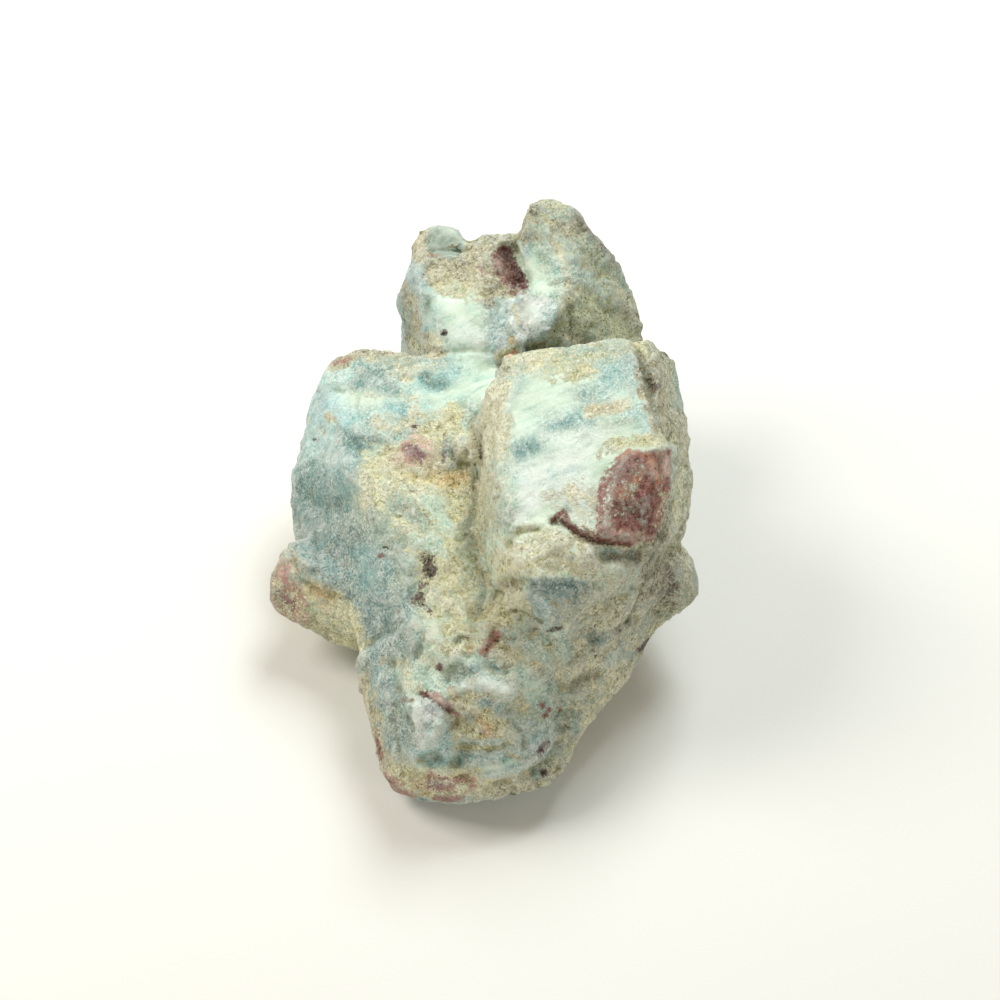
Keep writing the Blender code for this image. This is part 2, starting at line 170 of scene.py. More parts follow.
def seen_at(points):
    """Where points are seen: the picture's middle, plus the focal length times right and less up, over
    their depth."""
    away = points - EYE
    depth = -(away @ BACK)
    return np.stack([SEEN_MIDDLE + FOCAL * (away @ RIGHT) / depth,
                     SEEN_MIDDLE - FOCAL * (away @ UP) / depth], axis=1)


def met_by(tree, places):
    """The points of the skin that the sight lines through these places meet first. A line that passes
    just beside the stone is drawn in towards its middle, two pixels at a time, until it meets it."""
    met = []
    for place in places:
        for drawn_in in range(0, DRAWN_IN, 2):
            inward = np.array(STONE_MIDDLE, float) - place
            across, down = place + inward * (drawn_in / np.linalg.norm(inward))
            ray = RIGHT * (across - SEEN_MIDDLE) - UP * (down - SEEN_MIDDLE) - BACK * FOCAL
            spot = tree.ray_cast(Vector(EYE), Vector(ray))[0]
            if spot is not None:
                met.append(np.array(spot))
                break
    return met


def distance_to(points, path):
    """Each point's distance to a line through several places, and which side of it the point is on."""
    path = [np.array(place, float) for place in path]
    if len(path) == 1:
        return np.linalg.norm(points - path[0], axis=1), np.ones(len(points))
    best = np.full(len(points), np.inf)
    side = np.ones(len(points))
    for start, end in zip(path, path[1:]):
        along = end - start
        share = np.clip((points - start) @ along / max(along @ along, TINY), 0.0, 1.0)
        away = points - start - share[:, None] * along
        distance = np.linalg.norm(away, axis=1)
        closer = distance < best
        best = np.where(closer, distance, best)
        if len(start) == 2:
            side = np.where(closer, np.sign(along[0] * away[:, 1] - along[1] * away[:, 0]), side)
    return best, side


def inside(points, outline):
    """True where a point in the picture lies inside an outline: an odd number of edges to its right."""
    odd = np.zeros(len(points), bool)
    for (x0, y0), (x1, y1) in zip(outline, outline[1:] + outline[:1]):
        crosses = (y0 > points[:, 1]) != (y1 > points[:, 1])
        rise = (y1 - y0) or TINY
        odd ^= crosses & (points[:, 0] < (x1 - x0) * (points[:, 1] - y0) / rise + x0)
    return odd


def closed(path):
    """True where a stroke is an outline, which ends where it began."""
    return len(path) > 3 and path[0] == path[-1]


class Skin:
    """The stone's skin as arrays: its points and normals in millimetres, its edges, and where it is seen."""

    def __init__(self, mesh):
        self.mesh = mesh
        self.count = len(mesh.vertices)
        flat = np.empty(self.count * 3, np.float32)
        mesh.vertices.foreach_get("co", flat)
        self.points = flat.reshape(-1, 3).astype(float) / MM
        pairs = np.empty(len(mesh.edges) * 2, np.int32)
        mesh.edges.foreach_get("vertices", pairs)
        self.pairs = pairs.reshape(-1, 2)
        self.links = np.bincount(self.pairs.ravel(), minlength=self.count)[:, None]
        self.settle()

    def settle(self):
        """Puts the points back into the mesh and reads the new normals."""
        self.mesh.vertices.foreach_set("co", (self.points * MM).astype(np.float32).ravel())
        self.mesh.update()
        flat = np.empty(self.count * 3, np.float32)
        self.mesh.vertex_normals.foreach_get("vector", flat)
        self.normals = flat.reshape(-1, 3).astype(float)
        self.seen = seen_at(self.points)

    def averaged(self, values, rounds):
        """Each value moved half way to its neighbours' mean, so many times."""
        first, second = self.pairs.T
        for _ in range(rounds):
            total = np.stack([np.bincount(first, column[second], self.count)
                              + np.bincount(second, column[first], self.count)
                              for column in values.T], axis=1)
            values = (values + total / self.links) / 2
        return values

    def front(self):
        """How far the skin faces the eye: 1 up to edge-on, and from there eased to 0 by its cosine."""
        return eased((self.normals @ BACK + PAST_EDGE) / PAST_EDGE)

    def relax(self, step, rounds):
        """Evens the skin where it is stretched. A point moves towards its neighbours' mean, so many times,
        by a share: its edges' mean length over the step, in millimetres, eased from 0 to 1."""
        first, second = self.pairs.T
        length = np.linalg.norm(self.points[first] - self.points[second], axis=1)
        total = np.bincount(first, length, self.count) + np.bincount(second, length, self.count)
        share = eased((total / self.links[:, 0] / step - STRETCHED) / STRETCH_EASE)[:, None]
        for _ in range(rounds):
            self.points = self.points + share * (self.averaged(self.points, 1) - self.points)
        self.settle()

    def area(self):
        """The skin's area in square millimetres."""
        areas = np.empty(len(self.mesh.polygons), np.float32)
        self.mesh.polygons.foreach_get("area", areas)
        return float(areas.sum()) / MM ** 2

    def tree(self):
        """A tree of the skin's faces, in millimetres, to cast sight lines onto."""
        quads = np.empty(len(self.mesh.loops), np.int32)
        self.mesh.loops.foreach_get("vertex_index", quads)
        return BVHTree.FromPolygons(self.points.tolist(), quads.reshape(-1, 4).tolist())


def near_stroke(skin, tree, path, reach):
    """How far each point is seen from a stroke, in pixels, and on which side; and a share that fades to 0
    over two fifths of the reach and a millimetre, where the skin lies further than the reach, in
    millimetres, from the stroke's own places on it. Inside an outline the distance is less than 0, and the
    share fades outside the ball that holds the outline's places."""
    spots = met_by(tree, path)
    if not spots:
        raise RuntimeError(f"the stroke at {path[0]} misses the stone")
    away, side = distance_to(skin.seen, path)
    if closed(path):
        away = np.where(inside(skin.seen, path[:-1]), -away, away)
        middle = np.mean(spots, axis=0)
        radius = max(np.linalg.norm(spot - middle) for spot in spots)
        deep = np.linalg.norm(skin.points - middle, axis=1) - radius
        return away, side, eased(1.0 - deep / OUTLINE_FADE)
    deep, _ = distance_to(skin.points, spots)
    return away, side, eased(1.0 - (deep - reach) / (0.4 * reach + 1.0))


# How the skin is cut. Each row: what is done, how wide in pixels, how deep or high in millimetres, and
# the places that it runs through
CUTS = (
    # the pocket under the peak's overhanging edge
    ("groove", 10, 0.9, (504, 254), (512, 266), (520, 280)),
    ("crease", 3, 0.8, (514, 246), (518, 257), (530, 277), (531, 290)),
    # the peak's crack and the recess beside it
    ("crease", 3, 0.3, (570, 307), (571, 322), (571, 338)),
    ("groove", 8, 0.4, (561, 331)),
    # the teeth
    ("knob", 14, 0.9, (440, 231), (452, 231)),
    ("crease", 3, 0.35, (430, 252), (440, 257), (452, 257), (462, 250)),
    # the block's lower crease and its left edge
    ("crease", 3, 0.25, (443, 352), (468, 350), (493, 352)),
    ("crease", 3, 0.3, (428, 300), (424, 318), (427, 340)),
    # around the orange pebble
    ("crease", 4, 0.35, (496, 378), (505, 372), (513, 361), (518, 350)),
    ("knob", 7, 0.35, (507, 361)),
    ("crease", 3, 0.7, (530, 349), (542, 346)),
    # the centre lump's right step
    ("step", 12, -1.3, (668, 437), (657, 424), (650, 410), (646, 390), (640, 368), (636, 352)),
    ("ridge", 4, 0.4, (634, 356), (638, 368), (644, 390), (648, 410), (655, 423)),
    ("groove", 9, 0.3, (652, 383)),
    # its left edge over the cleft
    ("ridge", 5, 0.35, (520, 375), (505, 412), (500, 440), (500, 483), (511, 502), (506, 522)),
    # the knob in the cleft
    ("knob", 15, 1.0, (463, 446)),
    ("crease", 4, 0.6, (471, 430), (478, 442), (482, 453), (478, 464)),
    ("crease", 4, 0.5, (452, 458), (462, 464), (472, 463)),
    ("crease", 4, 0.4, (458, 432), (452, 445), (453, 458)),
    # the dark line down the cleft
    ("crease", 7, 0.4, (479, 466), (473, 483), (474, 508), (468, 530), (473, 552), (482, 575),
     (482, 603), (476, 615)),
    # the rim and the undercut crack of the red facet
    ("ridge", 4, 0.4, (628, 450), (648, 452), (668, 449)),
    ("ridge", 4, 0.35, (655, 452), (656, 470), (660, 490)),
    ("knob", 8, 0.25, (628, 490)),
    ("knob", 8, 0.2, (649, 500)),
    ("groove", 8, 0.2, (636, 514)),
    ("crease", 4, 0.6, (553, 521), (566, 526), (577, 535), (590, 541), (606, 544), (630, 545)),
    ("groove", 7, 0.25, (564, 514)),
    ("ridge", 6, 0.25, (575, 524), (590, 531), (606, 535), (628, 537)),
    # the shoulder's edge, folds and hollows
    ("crease", 4, 0.6, (506, 546), (511, 538), (519, 531), (537, 529)),
    ("groove", 9, 0.6, (506, 585), (520, 586)),
    ("groove", 10, 1.1, (606, 556), (630, 555)),
    ("crease", 4, 0.4, (498, 596), (492, 604), (480, 616)),
    ("crease", 3, 0.5, (500, 611), (507, 615), (514, 612)),
    ("crease", 4, 0.3, (600, 604), (612, 600), (628, 598)),
    ("crease", 4, 0.3, (548, 631), (560, 628)),
    # the flank's long crease and the right spur
    ("step", 9, -0.8, (632, 616), (641, 594), (651, 569), (660, 558), (687, 521)),
    ("crease", 4, 0.4, (655, 612), (668, 596), (676, 584)),
    # crumples of the right skirt
    ("crease", 5, 0.3, (568, 686), (584, 678), (600, 674)),
    ("crease", 4, 0.5, (619, 630), (630, 622)),
    ("crease", 4, 0.4, (602, 660), (614, 645), (628, 634)),
    ("groove", 8, 0.4, (585, 636), (604, 640)),
    ("ridge", 4, 0.3, (556, 696), (574, 694), (600, 690)),
    # the near lobe: its knobs, the hole between them, and the boulder in its red notch
    ("knob", 11, 0.35, (414, 628), (414, 640)),
    ("crease", 4, 0.45, (425, 634), (420, 646), (416, 657)),
    ("knob", 11, 0.35, (434, 636), (431, 652)),
    ("knob", 6, 0.4, (430, 621), (438, 625)),
    ("crease", 4, 0.5, (440, 619), (441, 630), (448, 640)),
    ("knob", 8, 0.6, (463, 644), (456, 656)),
    ("crease", 3, 0.9, (458, 641), (463, 637), (470, 640)),
    ("crease", 4, 0.4, (449, 648), (447, 662), (452, 668)),
    ("groove", 10, 0.7, (448, 674), (462, 674), (478, 671)),
    ("groove", 6, 0.5, (489, 662), (497, 670), (505, 672)),
    ("groove", 5, 0.5, (485, 654), (491, 645), (497, 636)),
    ("ridge", 8, 0.4, (484, 680), (497, 686), (512, 692)),
    ("groove", 9, 0.5, (470, 694), (486, 702), (506, 710)),
    ("ridge", 6, 0.4, (462, 690), (478, 698), (496, 704)),
    ("crease", 5, 0.25, (420, 692), (430, 696), (442, 705), (452, 713)),
    ("crease", 5, 0.25, (385, 706), (398, 701), (411, 702)),
    ("knob", 12, 0.3, (421, 708), (431, 716)),
    ("knob", 12, 0.25, (424, 726), (426, 740)),
    ("crease", 4, 0.3, (412, 710), (408, 724), (412, 744)),
    ("crease", 4, 0.3, (445, 742), (450, 730), (460, 720), (474, 719)),
    ("ridge", 4, 0.4, (457, 735), (470, 737), (482, 743), (498, 741)),
    ("crease", 4, 0.2, (460, 744), (474, 747), (490, 750), (508, 744)),
    ("crease", 5, 0.5, (452, 768), (458, 758), (464, 748)),
    ("groove", 8, 0.5, (420, 762), (436, 760)),
    ("ridge", 4, 0.35, (468, 762), (486, 762), (502, 768)),
    ("crease", 4, 0.4, (512, 722), (524, 734), (526, 748)),
    ("crease", 6, 0.25, (548, 640), (554, 655), (560, 672), (564, 690), (562, 706), (557, 722)),
    ("ridge", 6, 0.3, (553, 736), (546, 754), (528, 766), (494, 778)),
    ("crease", 4, 0.35, (556, 740), (549, 760), (531, 772), (496, 785)),
    ("groove", 4, 0.5, (543, 773)),
    ("groove", 4, 0.5, (566, 727)),
    ("crease", 4, 0.5, (392, 662), (396, 690), (392, 720), (398, 752)),
    ("ridge", 5, 0.4, (364, 640), (362, 680), (376, 730), (384, 768)),
    ("crease", 4, 0.5, (405, 772), (430, 778), (466, 778)),
    # the left lobe: its folds, its teal hollows and the edge of its crust
    ("groove", 12, 0.5, (428, 380), (444, 388)),
    ("groove", 10, 0.6, (346, 440), (362, 446), (380, 450)),
    ("crease", 3, 0.35, (376, 451), (392, 450), (402, 449)),
    ("groove", 12, 0.6, (302, 492), (318, 499), (336, 506)),
    ("step", 8, 0.35, (347, 470), (366, 484), (377, 513), (397, 540), (410, 572), (408, 596)),
    ("crease", 3, 0.3, (312, 392), (330, 388), (350, 393)),
    ("crease", 3, 0.3, (300, 470), (318, 462), (326, 446)),
    ("groove", 10, 0.4, (428, 562), (426, 582), (416, 600)),
    ("knob", 9, 0.35, (428, 545)),
    ("knob", 8, 0.3, (410, 532)),
    # the left spur's edge under the face
    ("crease", 3, 0.4, (288, 548), (300, 580), (322, 594), (350, 600)),
)

# Where the solid's lobes leave a gap that the stone doesn't have: how wide in pixels, how deep in
# millimetres, and the place
GAPS = ((7, 4.0, (524, 280)), (10, 3.0, (439, 689)))

# Faces that broke flat: how strongly they are flattened, and their outlines
FLATS = (
    # the red facet
    (0.6, (606, 470), (622, 451), (650, 449), (670, 451), (675, 470), (670, 514), (656, 541), (624, 548),
     (596, 543), (598, 502)),
    # the block's mint face
    (0.5, (432, 296), (480, 298), (494, 346), (446, 348)),
    # the lump's mint face
    (0.3, (512, 425), (560, 415), (600, 440), (596, 500), (545, 515), (515, 510)),
    # the green tooth
    (0.4, (428, 240), (444, 226), (456, 230), (464, 246), (450, 254), (432, 248)),
    # the tan tooth
    (0.5, (480, 238), (492, 232), (512, 234), (510, 246), (484, 246)),
    # the left face
    (0.35, (300, 515), (350, 490), (372, 520), (396, 560), (396, 610), (360, 600), (310, 575)),
    # the right ledge
    (0.6, (646, 356), (662, 358), (678, 372), (680, 400), (668, 425), (656, 405)),
    # the spur's upper face
    (0.5, (300, 585), (345, 602), (352, 640), (320, 626), (296, 606)),
    # the right spur
    (0.5, (662, 560), (686, 556), (696, 590), (680, 604), (660, 600)),
)

# How the skin is painted, one stroke over another. Each row: the finish, how bright, how much it covers,
# how wide in pixels, and the places that it runs through. On front and lower faces, which the lamps leave
# dim, how bright often goes past the finish's own colour, and there it is in part painted light. Where the
# last place is the first again, the stroke is an outline that is filled, and its width is how soft its edge
# is
STROKES = (
    # the peak
    ("sage", 1.3, 1, 84, (548, 212), (570, 250), (600, 300), (610, 330)),
    ("celadon", 1.2, 1, 34, (535, 240), (540, 270), (548, 290)),
    ("mint", 1.02, 1, 18, (524, 246), (530, 270), (540, 286)),
    # pale larimar, and in part a painted highlight
    ("mist", 1.35, 1, 11, (530, 236), (525, 252)),
    ("aqua", 1.3, 0.8, 20, (552, 224), (556, 246), (564, 264)),
    ("aqua", 1.0, 0.7, 20, (582, 264), (600, 276), (606, 292)),
    ("ice", 1.12, 0.9, 7, (583, 262), (590, 272)),
    ("tan", 1.0, 0.62, 20, (530, 212), (528, 226), (538, 234)),
    ("sand", 1.0, 0.55, 24, (546, 203), (566, 206), (556, 218)),
    ("slate", 1.3, 0.7, 9, (531, 232)),
    ("cream", 1.05, 0.68, 11, (556, 238), (562, 258), (568, 280), (574, 294)),
    ("khaki", 1.3, 0.55, 32, (575, 225), (592, 248), (600, 262)),
    ("olive", 1.3, 0.5, 26, (585, 252), (612, 282), (628, 302)),
    ("drab", 1.0, 0.7, 8, (574, 212), (588, 230), (606, 250), (616, 264)),
    ("plum", 1.6, 0.4, 5, (578, 216), (592, 234), (606, 250)),
    ("olive", 1.95, 0.75, 42, (585, 312), (605, 324), (632, 330)),
    ("khaki", 1.35, 0.55, 18, (622, 300), (634, 322)),
    ("drab", 0.45, 0.95, 8, (535, 211)),
    ("cream", 1.08, 0.9, 8, (560, 312), (566, 300), (578, 290)),
    ("cream", 1.08, 0.95, 8, (574, 338), (586, 343), (602, 346)),
    # the pale lump at its foot
    ("lilac", 1.42, 1, 4, (508, 300), (524, 294), (550, 298), (558, 306), (552, 326), (540, 340),
     (520, 342), (508, 330), (508, 300)),
    ("ice", 1.1, 0.9, 20, (528, 306), (534, 315)),
    ("mist", 1.5, 1, 13, (550, 312), (542, 332)),
    ("sand", 1.15, 0.5, 9, (514, 308), (519, 330)),
    ("rust", 1.2, 0.42, 3, (523, 327), (533, 323)),
    ("olive", 1.5, 0.95, 12, (558, 331), (564, 326)),
    ("umber", 2.6, 0.6, 3, (570, 309), (571, 336)),
    # the block
    ("mist", 0.9, 1, 44, (408, 275), (420, 300), (415, 340)),
    ("sky", 0.74, 1, 30, (414, 274), (424, 294)),
    ("mint", 1.15, 1, 50, (450, 308), (462, 322), (470, 345)),
    ("ice", 1.15, 1, 24, (462, 334), (476, 342)),
    ("aqua", 1.12, 0.8, 18, (434, 312), (430, 332)),
    ("mist", 1.65, 1, 19, (500, 308), (497, 335), (493, 358)),
    ("slate", 1.6, 0.8, 10, (488, 298), (497, 306), (494, 318)),
    ("drab", 1.2, 0.5, 8, (488, 300), (498, 308)),
    ("tan", 0.95, 0.95, 34, (440, 270), (465, 274), (490, 280)),
    ("sand", 1.1, 0.5, 18, (440, 286), (470, 292)),
    ("rose", 1.2, 0.4, 14, (470, 262), (488, 270)),
    ("khaki", 1.05, 0.95, 18, (408, 300), (413, 330), (412, 345)),
    ("olive", 1.2, 0.5, 10, (408, 310), (410, 335)),
    ("cream", 1.08, 0.8, 18, (418, 346), (430, 338), (440, 346)),
    ("slate", 1.3, 1, 6, (399, 298), (401, 345)),
    ("tan", 0.7, 0.8, 9, (398, 277), (403, 288)),
    ("umber", 0.3, 1, 6.5, (444, 333)),
    ("mint", 1.1, 1, 30, (464, 362), (486, 372), (488, 388)),
    ("aqua", 1.25, 1, 20, (446, 364), (455, 374)),
    ("ice", 1.05, 1, 10, (454, 391), (472, 394)),
    ("lilac", 1.0, 0.9, 9, (501, 338), (497, 358)),
    # the teeth behind it, and the red pocket
    ("khaki", 0.85, 1, 30, (420, 246), (484, 240), (512, 240)),
    ("sea_green", 0.84, 1, 4, (426, 247), (433, 231), (446, 223), (457, 226), (466, 240), (465, 251),
     (450, 257), (430, 253), (426, 247)),
    ("sea_green", 0.75, 1, 16, (440, 236), (452, 234)),
    ("sea_green", 0.7, 0.9, 9, (436, 251), (450, 253), (461, 247)),
    ("tan", 1.05, 0.85, 11, (418, 240), (421, 256)),
    ("sand", 1.0, 0.7, 8, (468, 243), (470, 256)),
    ("rust", 1.5, 0.5, 3, (430, 255), (440, 254), (450, 259)),
    ("tan", 0.85, 0.9, 14, (470, 254), (486, 252)),
    ("drab", 0.9, 0.5, 7, (488, 232), (492, 237)),
    ("brick", 1.5, 1, 3, (491, 254), (500, 245), (510, 245), (516, 262), (528, 280), (527, 293), (514, 291),
     (502, 281), (494, 268), (491, 254)),
    ("wine", 1.3, 0.7, 8, (496, 258), (504, 272)),
    ("oxblood", 1.5, 1, 9, (505, 252), (511, 264), (519, 278), (524, 288)),
    ("oxblood", 0.7, 0.8, 4, (509, 252), (514, 264), (523, 280)),
    ("wine", 1.2, 0.6, 7, (512, 293), (527, 294)),
    ("mint", 1.05, 0.9, 4, (519, 242), (520, 256), (527, 268), (534, 280)),
    # the centre lump: its crust
    ("aqua", 1.0, 1, 70, (540, 378), (600, 372), (630, 388)),
    ("celadon", 1.05, 1, 26, (545, 364), (580, 366)),
    ("sand", 1.22, 0.75, 46, (530, 358), (575, 350), (610, 348), (636, 350)),
    ("cream", 1.1, 0.95, 36, (486, 402), (502, 384), (522, 366)),
    ("cream", 1.05, 0.5, 30, (478, 414), (497, 390), (518, 372)),
    ("olive", 1.4, 0.5, 20, (568, 352), (600, 347), (622, 354)),
    ("rose", 1.35, 0.38, 18, (482, 406), (502, 386), (518, 376)),
    ("mint", 0.95, 1, 18, (536, 384), (562, 377), (592, 376)),
    ("cream", 1.05, 0.8, 17, (541, 388), (556, 392), (570, 396)),
    ("sand", 1.2, 0.45, 30, (518, 396), (556, 380), (600, 370)),
    ("aqua", 1.05, 1, 24, (610, 380), (630, 374), (636, 394)),
    ("teal", 1.5, 0.75, 12, (607, 381), (617, 374)),
    ("mist", 1.6, 0.9, 12, (636, 362), (643, 390), (650, 412)),
    ("sand", 1.25, 0.95, 7, (497, 357), (508, 352), (516, 352)),
    ("rust", 2.2, 0.6, 6, (507, 356), (515, 352)),
    ("olive", 0.8, 0.9, 7, (500, 366), (506, 369)),
    # its mint face
    ("mint", 1.0, 1, 64, (530, 432), (562, 444), (600, 440), (625, 426)),
    ("mint", 1.0, 1, 64, (532, 480), (560, 474), (592, 466)),
    ("mint", 0.96, 1, 30, (517, 408), (530, 398), (560, 404)),
    # pale larimar, and in part a painted highlight across the middle of the face
    ("ice", 1.06, 1, 40, (526, 480), (546, 480), (566, 472)),
    ("ice", 1.0, 1, 18, (534, 504), (520, 517)),
    ("ice", 1.0, 0.8, 18, (545, 434), (575, 440), (600, 432)),
    ("celadon", 1.08, 0.9, 16, (610, 424), (640, 414)),
    ("aqua", 1.2, 0.9, 18, (632, 410), (652, 428)),
    ("slate", 1.75, 0.55, 22, (548, 424), (590, 418)),
    ("teal", 1.35, 0.95, 11, (553, 426), (570, 421), (588, 418)),
    ("slate", 1.65, 0.6, 28, (521, 449), (536, 445)),
    ("teal", 1.1, 1, 16, (520, 450), (531, 446)),
    ("deep_teal", 1.7, 0.8, 6, (516, 453), (522, 450)),
    ("ice", 1.0, 0.9, 3, (527, 452)),
    ("cream", 1.08, 0.8, 13, (590, 411), (608, 409), (626, 404)),
    ("tan", 1.35, 0.75, 9, (594, 410), (616, 408)),
    ("ice", 0.95, 0.85, 30, (574, 492), (592, 500), (584, 516)),
    ("cream", 1.18, 0.5, 34, (558, 506), (580, 494), (594, 515)),
    ("mint", 1.15, 0.8, 14, (548, 512), (536, 524)),
    ("sand", 1.2, 0.4, 14, (506, 418), (504, 450), (503, 482)),
    ("celadon", 1.4, 0.6, 10, (509, 468), (512, 500)),
    ("khaki", 1.4, 0.35, 7, (512, 486), (510, 508)),
    ("sand", 1.25, 0.75, 16, (612, 446), (640, 440), (664, 438)),
    ("cream", 1.2, 0.5, 12, (600, 455), (612, 448)),
    # the cleft's wall and floor
    ("celadon", 1.2, 1, 30, (487, 410), (482, 450), (486, 500), (486, 560)),
    ("cream", 0.92, 0.62, 30, (487, 410), (483, 450), (486, 500), (486, 560), (490, 592)),
    ("cream", 1.1, 0.85, 24, (493, 396), (497, 420), (495, 444)),
    ("khaki", 1.2, 0.8, 14, (473, 424), (477, 446)),
    ("khaki", 1.25, 0.6, 16, (487, 468), (484, 540)),
    ("umber", 3.0, 0.3, 10, (484, 484), (485, 500)),
    ("ice", 0.9, 1, 4, (487, 544)),
    # the knob in the cleft
    ("cream", 1.12, 1, 26, (462, 440), (467, 454)),
    ("cream", 1.08, 1, 14, (463, 444)),
    # painted shade: darker crust and pits in the creases round the knob's foot
    ("olive", 1.8, 0.5, 6, (452, 462), (470, 466)),
    ("umber", 1.3, 0.7, 3, (472, 432), (478, 443), (482, 454), (478, 464)),
    ("umber", 1.6, 0.35, 4, (458, 432), (452, 445), (453, 460), (462, 467)),
    # the ledge beside the lump
    ("khaki", 1.1, 0.95, 30, (666, 352), (670, 390), (678, 430)),
    ("celadon", 0.8, 0.75, 12, (676, 370), (680, 404)),
    ("tan", 0.98, 1, 18, (645, 362), (652, 395), (660, 422)),
    # painted shade: a dark line at the foot of the step, and dark in the hole below it
    ("drab", 1.8, 0.75, 8, (643, 366), (650, 392), (658, 420)),
    ("umber", 2.2, 0.7, 7, (649, 380), (657, 385)),
    ("oxblood", 2.2, 0.6, 5, (654, 389)),
    # the shoulder
    # the shoulder's larimar is brightened past its own colour where the lump above leaves it in shade:
    # painted light
    ("celadon", 1.85, 1, 56, (512, 560), (545, 556), (590, 560)),
    ("mint", 1.12, 0.9, 16, (515, 545), (548, 540), (575, 542)),
    ("cream", 1.1, 0.72, 42, (508, 560), (545, 548), (580, 548)),
    ("sand", 1.22, 0.6, 22, (505, 572), (540, 566), (580, 570)),
    ("olive", 1.6, 0.6, 4, (507, 546), (513, 536), (520, 531), (538, 530)),
    ("rose", 1.1, 0.6, 5, (522, 549)),
    ("olive", 1.3, 0.7, 6, (545, 563), (557, 564)),
    ("tan", 0.9, 0.8, 9, (506, 585), (518, 587)),
    ("slate", 1.02, 1, 4, (528, 582), (545, 576), (590, 580), (606, 590), (604, 604), (580, 618),
     (560, 624), (540, 616), (528, 600), (528, 582)),
    ("deep_teal", 1.0, 0.9, 14, (536, 587), (562, 588), (590, 590)),
    ("mist", 1.5, 0.9, 12, (538, 600), (550, 608)),
    ("cream", 1.08, 0.38, 24, (560, 606), (584, 606)),
    ("drab", 1.7, 0.5, 20, (574, 604), (588, 598)),
    ("khaki", 1.4, 0.7, 36, (590, 562), (625, 564), (612, 588), (634, 540)),
    ("sand", 0.95, 0.5, 18, (598, 548), (625, 570), (600, 574)),
    # painted shade: grey-blue and dark crust in the recess under the shoulder's edge
    ("slate", 0.7, 0.85, 11, (606, 553), (616, 556)),
    ("slate", 0.9, 0.5, 9, (630, 555)),
    ("drab", 0.8, 0.45, 8, (612, 557), (634, 554)),
    ("drab", 0.95, 0.65, 14, (606, 600), (622, 596), (606, 612)),
    ("brick", 1.2, 0.85, 4, (590, 606), (594, 610)),
    ("cream", 1.1, 1, 18, (502, 600), (508, 606)),
    ("umber", 1.2, 0.9, 2.5, (500, 612), (507, 615), (514, 612)),
    # the red facet
    ("brick", 2.1, 1, 4, (599, 490), (604, 478), (613, 466), (621, 455), (629, 449), (645, 453),
     (656, 451), (670, 450), (671, 500), (667, 524), (655, 541), (625, 545), (598, 541), (596, 530),
     (599, 505), (599, 490)),
    ("mauve", 1.3, 0.8, 24, (618, 476), (632, 462), (646, 468)),
    ("brick", 1.7, 0.6, 16, (608, 486), (606, 512)),
    ("brick", 1.75, 0.95, 30, (626, 500), (650, 504), (648, 520)),
    ("oxblood", 2.0, 0.7, 18, (622, 510), (642, 508)),
    ("brick", 2.0, 0.6, 8, (658, 476), (664, 500), (658, 524)),
    ("rust", 1.3, 0.5, 9, (642, 472), (630, 488), (622, 494)),
    ("rust", 1.7, 0.8, 5, (650, 460), (654, 472), (658, 482)),
    ("rust", 1.6, 0.8, 4, (620, 457), (630, 450), (645, 454), (655, 460)),
    ("rose", 2.0, 0.6, 7, (658, 453), (663, 458), (668, 472)),
    ("wine", 2.2, 0.5, 7, (606, 522), (616, 532), (642, 536)),
    ("rust", 1.3, 0.5, 5, (630, 496), (636, 488)),
    ("lilac", 1.0, 0.6, 3, (652, 474)),
    ("lilac", 1.0, 0.5, 3, (611, 499)),
    ("lilac", 1.0, 0.55, 3, (616, 524)),
    ("lilac", 1.0, 0.5, 3, (645, 522)),
    ("lilac", 1.0, 0.5, 3, (657, 507)),
    ("lilac", 1.0, 0.45, 3, (624, 481)),
    # the crack under the facet: red stain, and in part painted shade along its undercut
    ("brick", 1.6, 1, 5, (554, 521), (563, 511), (567, 521), (576, 530), (590, 538), (606, 542),
     (630, 545)),
    ("oxblood", 1.3, 0.9, 3, (558, 518), (568, 527), (578, 534), (594, 541), (612, 544)),
    ("brick", 1.3, 0.7, 4, (582, 527), (596, 533), (610, 537)),
    # the right flank and spur
    ("khaki", 1.25, 0.9, 24, (680, 435), (683, 480), (682, 530), (686, 552)),
    ("sand", 1.05, 0.5, 12, (674, 440), (676, 480), (674, 520)),
    ("drab", 1.4, 0.9, 9, (670, 505), (666, 530), (656, 548)),
    ("khaki", 0.78, 0.85, 30, (654, 562), (646, 590), (640, 612)),
    ("celadon", 1.12, 0.7, 12, (640, 575), (630, 596)),
    ("drab", 1.5, 0.8, 24, (664, 566), (656, 590), (668, 600)),
    ("umber", 2.0, 0.5, 14, (668, 568), (674, 584), (666, 592)),
    ("khaki", 1.1, 0.75, 16, (684, 560), (692, 592)),
    ("olive", 1.0, 0.8, 10, (660, 622), (682, 610), (694, 600)),
    # the crumpled skirt
    # brightened past their own colours, as painted light on these lower faces that the lamps leave dim
    ("sage", 1.1, 1, 60, (612, 620), (590, 650), (575, 680)),
    ("khaki", 1.55, 0.7, 62, (612, 620), (590, 650), (575, 680)),
    ("celadon", 1.12, 0.8, 14, (560, 640), (566, 652)),
    ("slate", 0.95, 0.9, 14, (584, 636), (602, 642)),
    ("celadon", 1.05, 0.8, 9, (604, 668), (612, 656)),
    ("drab", 1.6, 0.5, 12, (574, 688), (590, 680), (604, 676)),
    ("drab", 1.0, 0.6, 8, (618, 632), (630, 622)),
    ("umber", 1.6, 0.7, 4, (549, 630), (560, 628)),
    ("oxblood", 1.0, 1, 7, (640, 650), (650, 641)),
    ("cream", 1.08, 1, 34, (616, 684), (596, 708), (576, 738), (566, 765)),
    ("sand", 1.2, 0.5, 22, (600, 690), (580, 722), (562, 752)),
    ("khaki", 1.35, 0.9, 26, (556, 772), (530, 786), (490, 788)),
    ("olive", 0.95, 0.6, 14, (560, 748), (540, 776)),
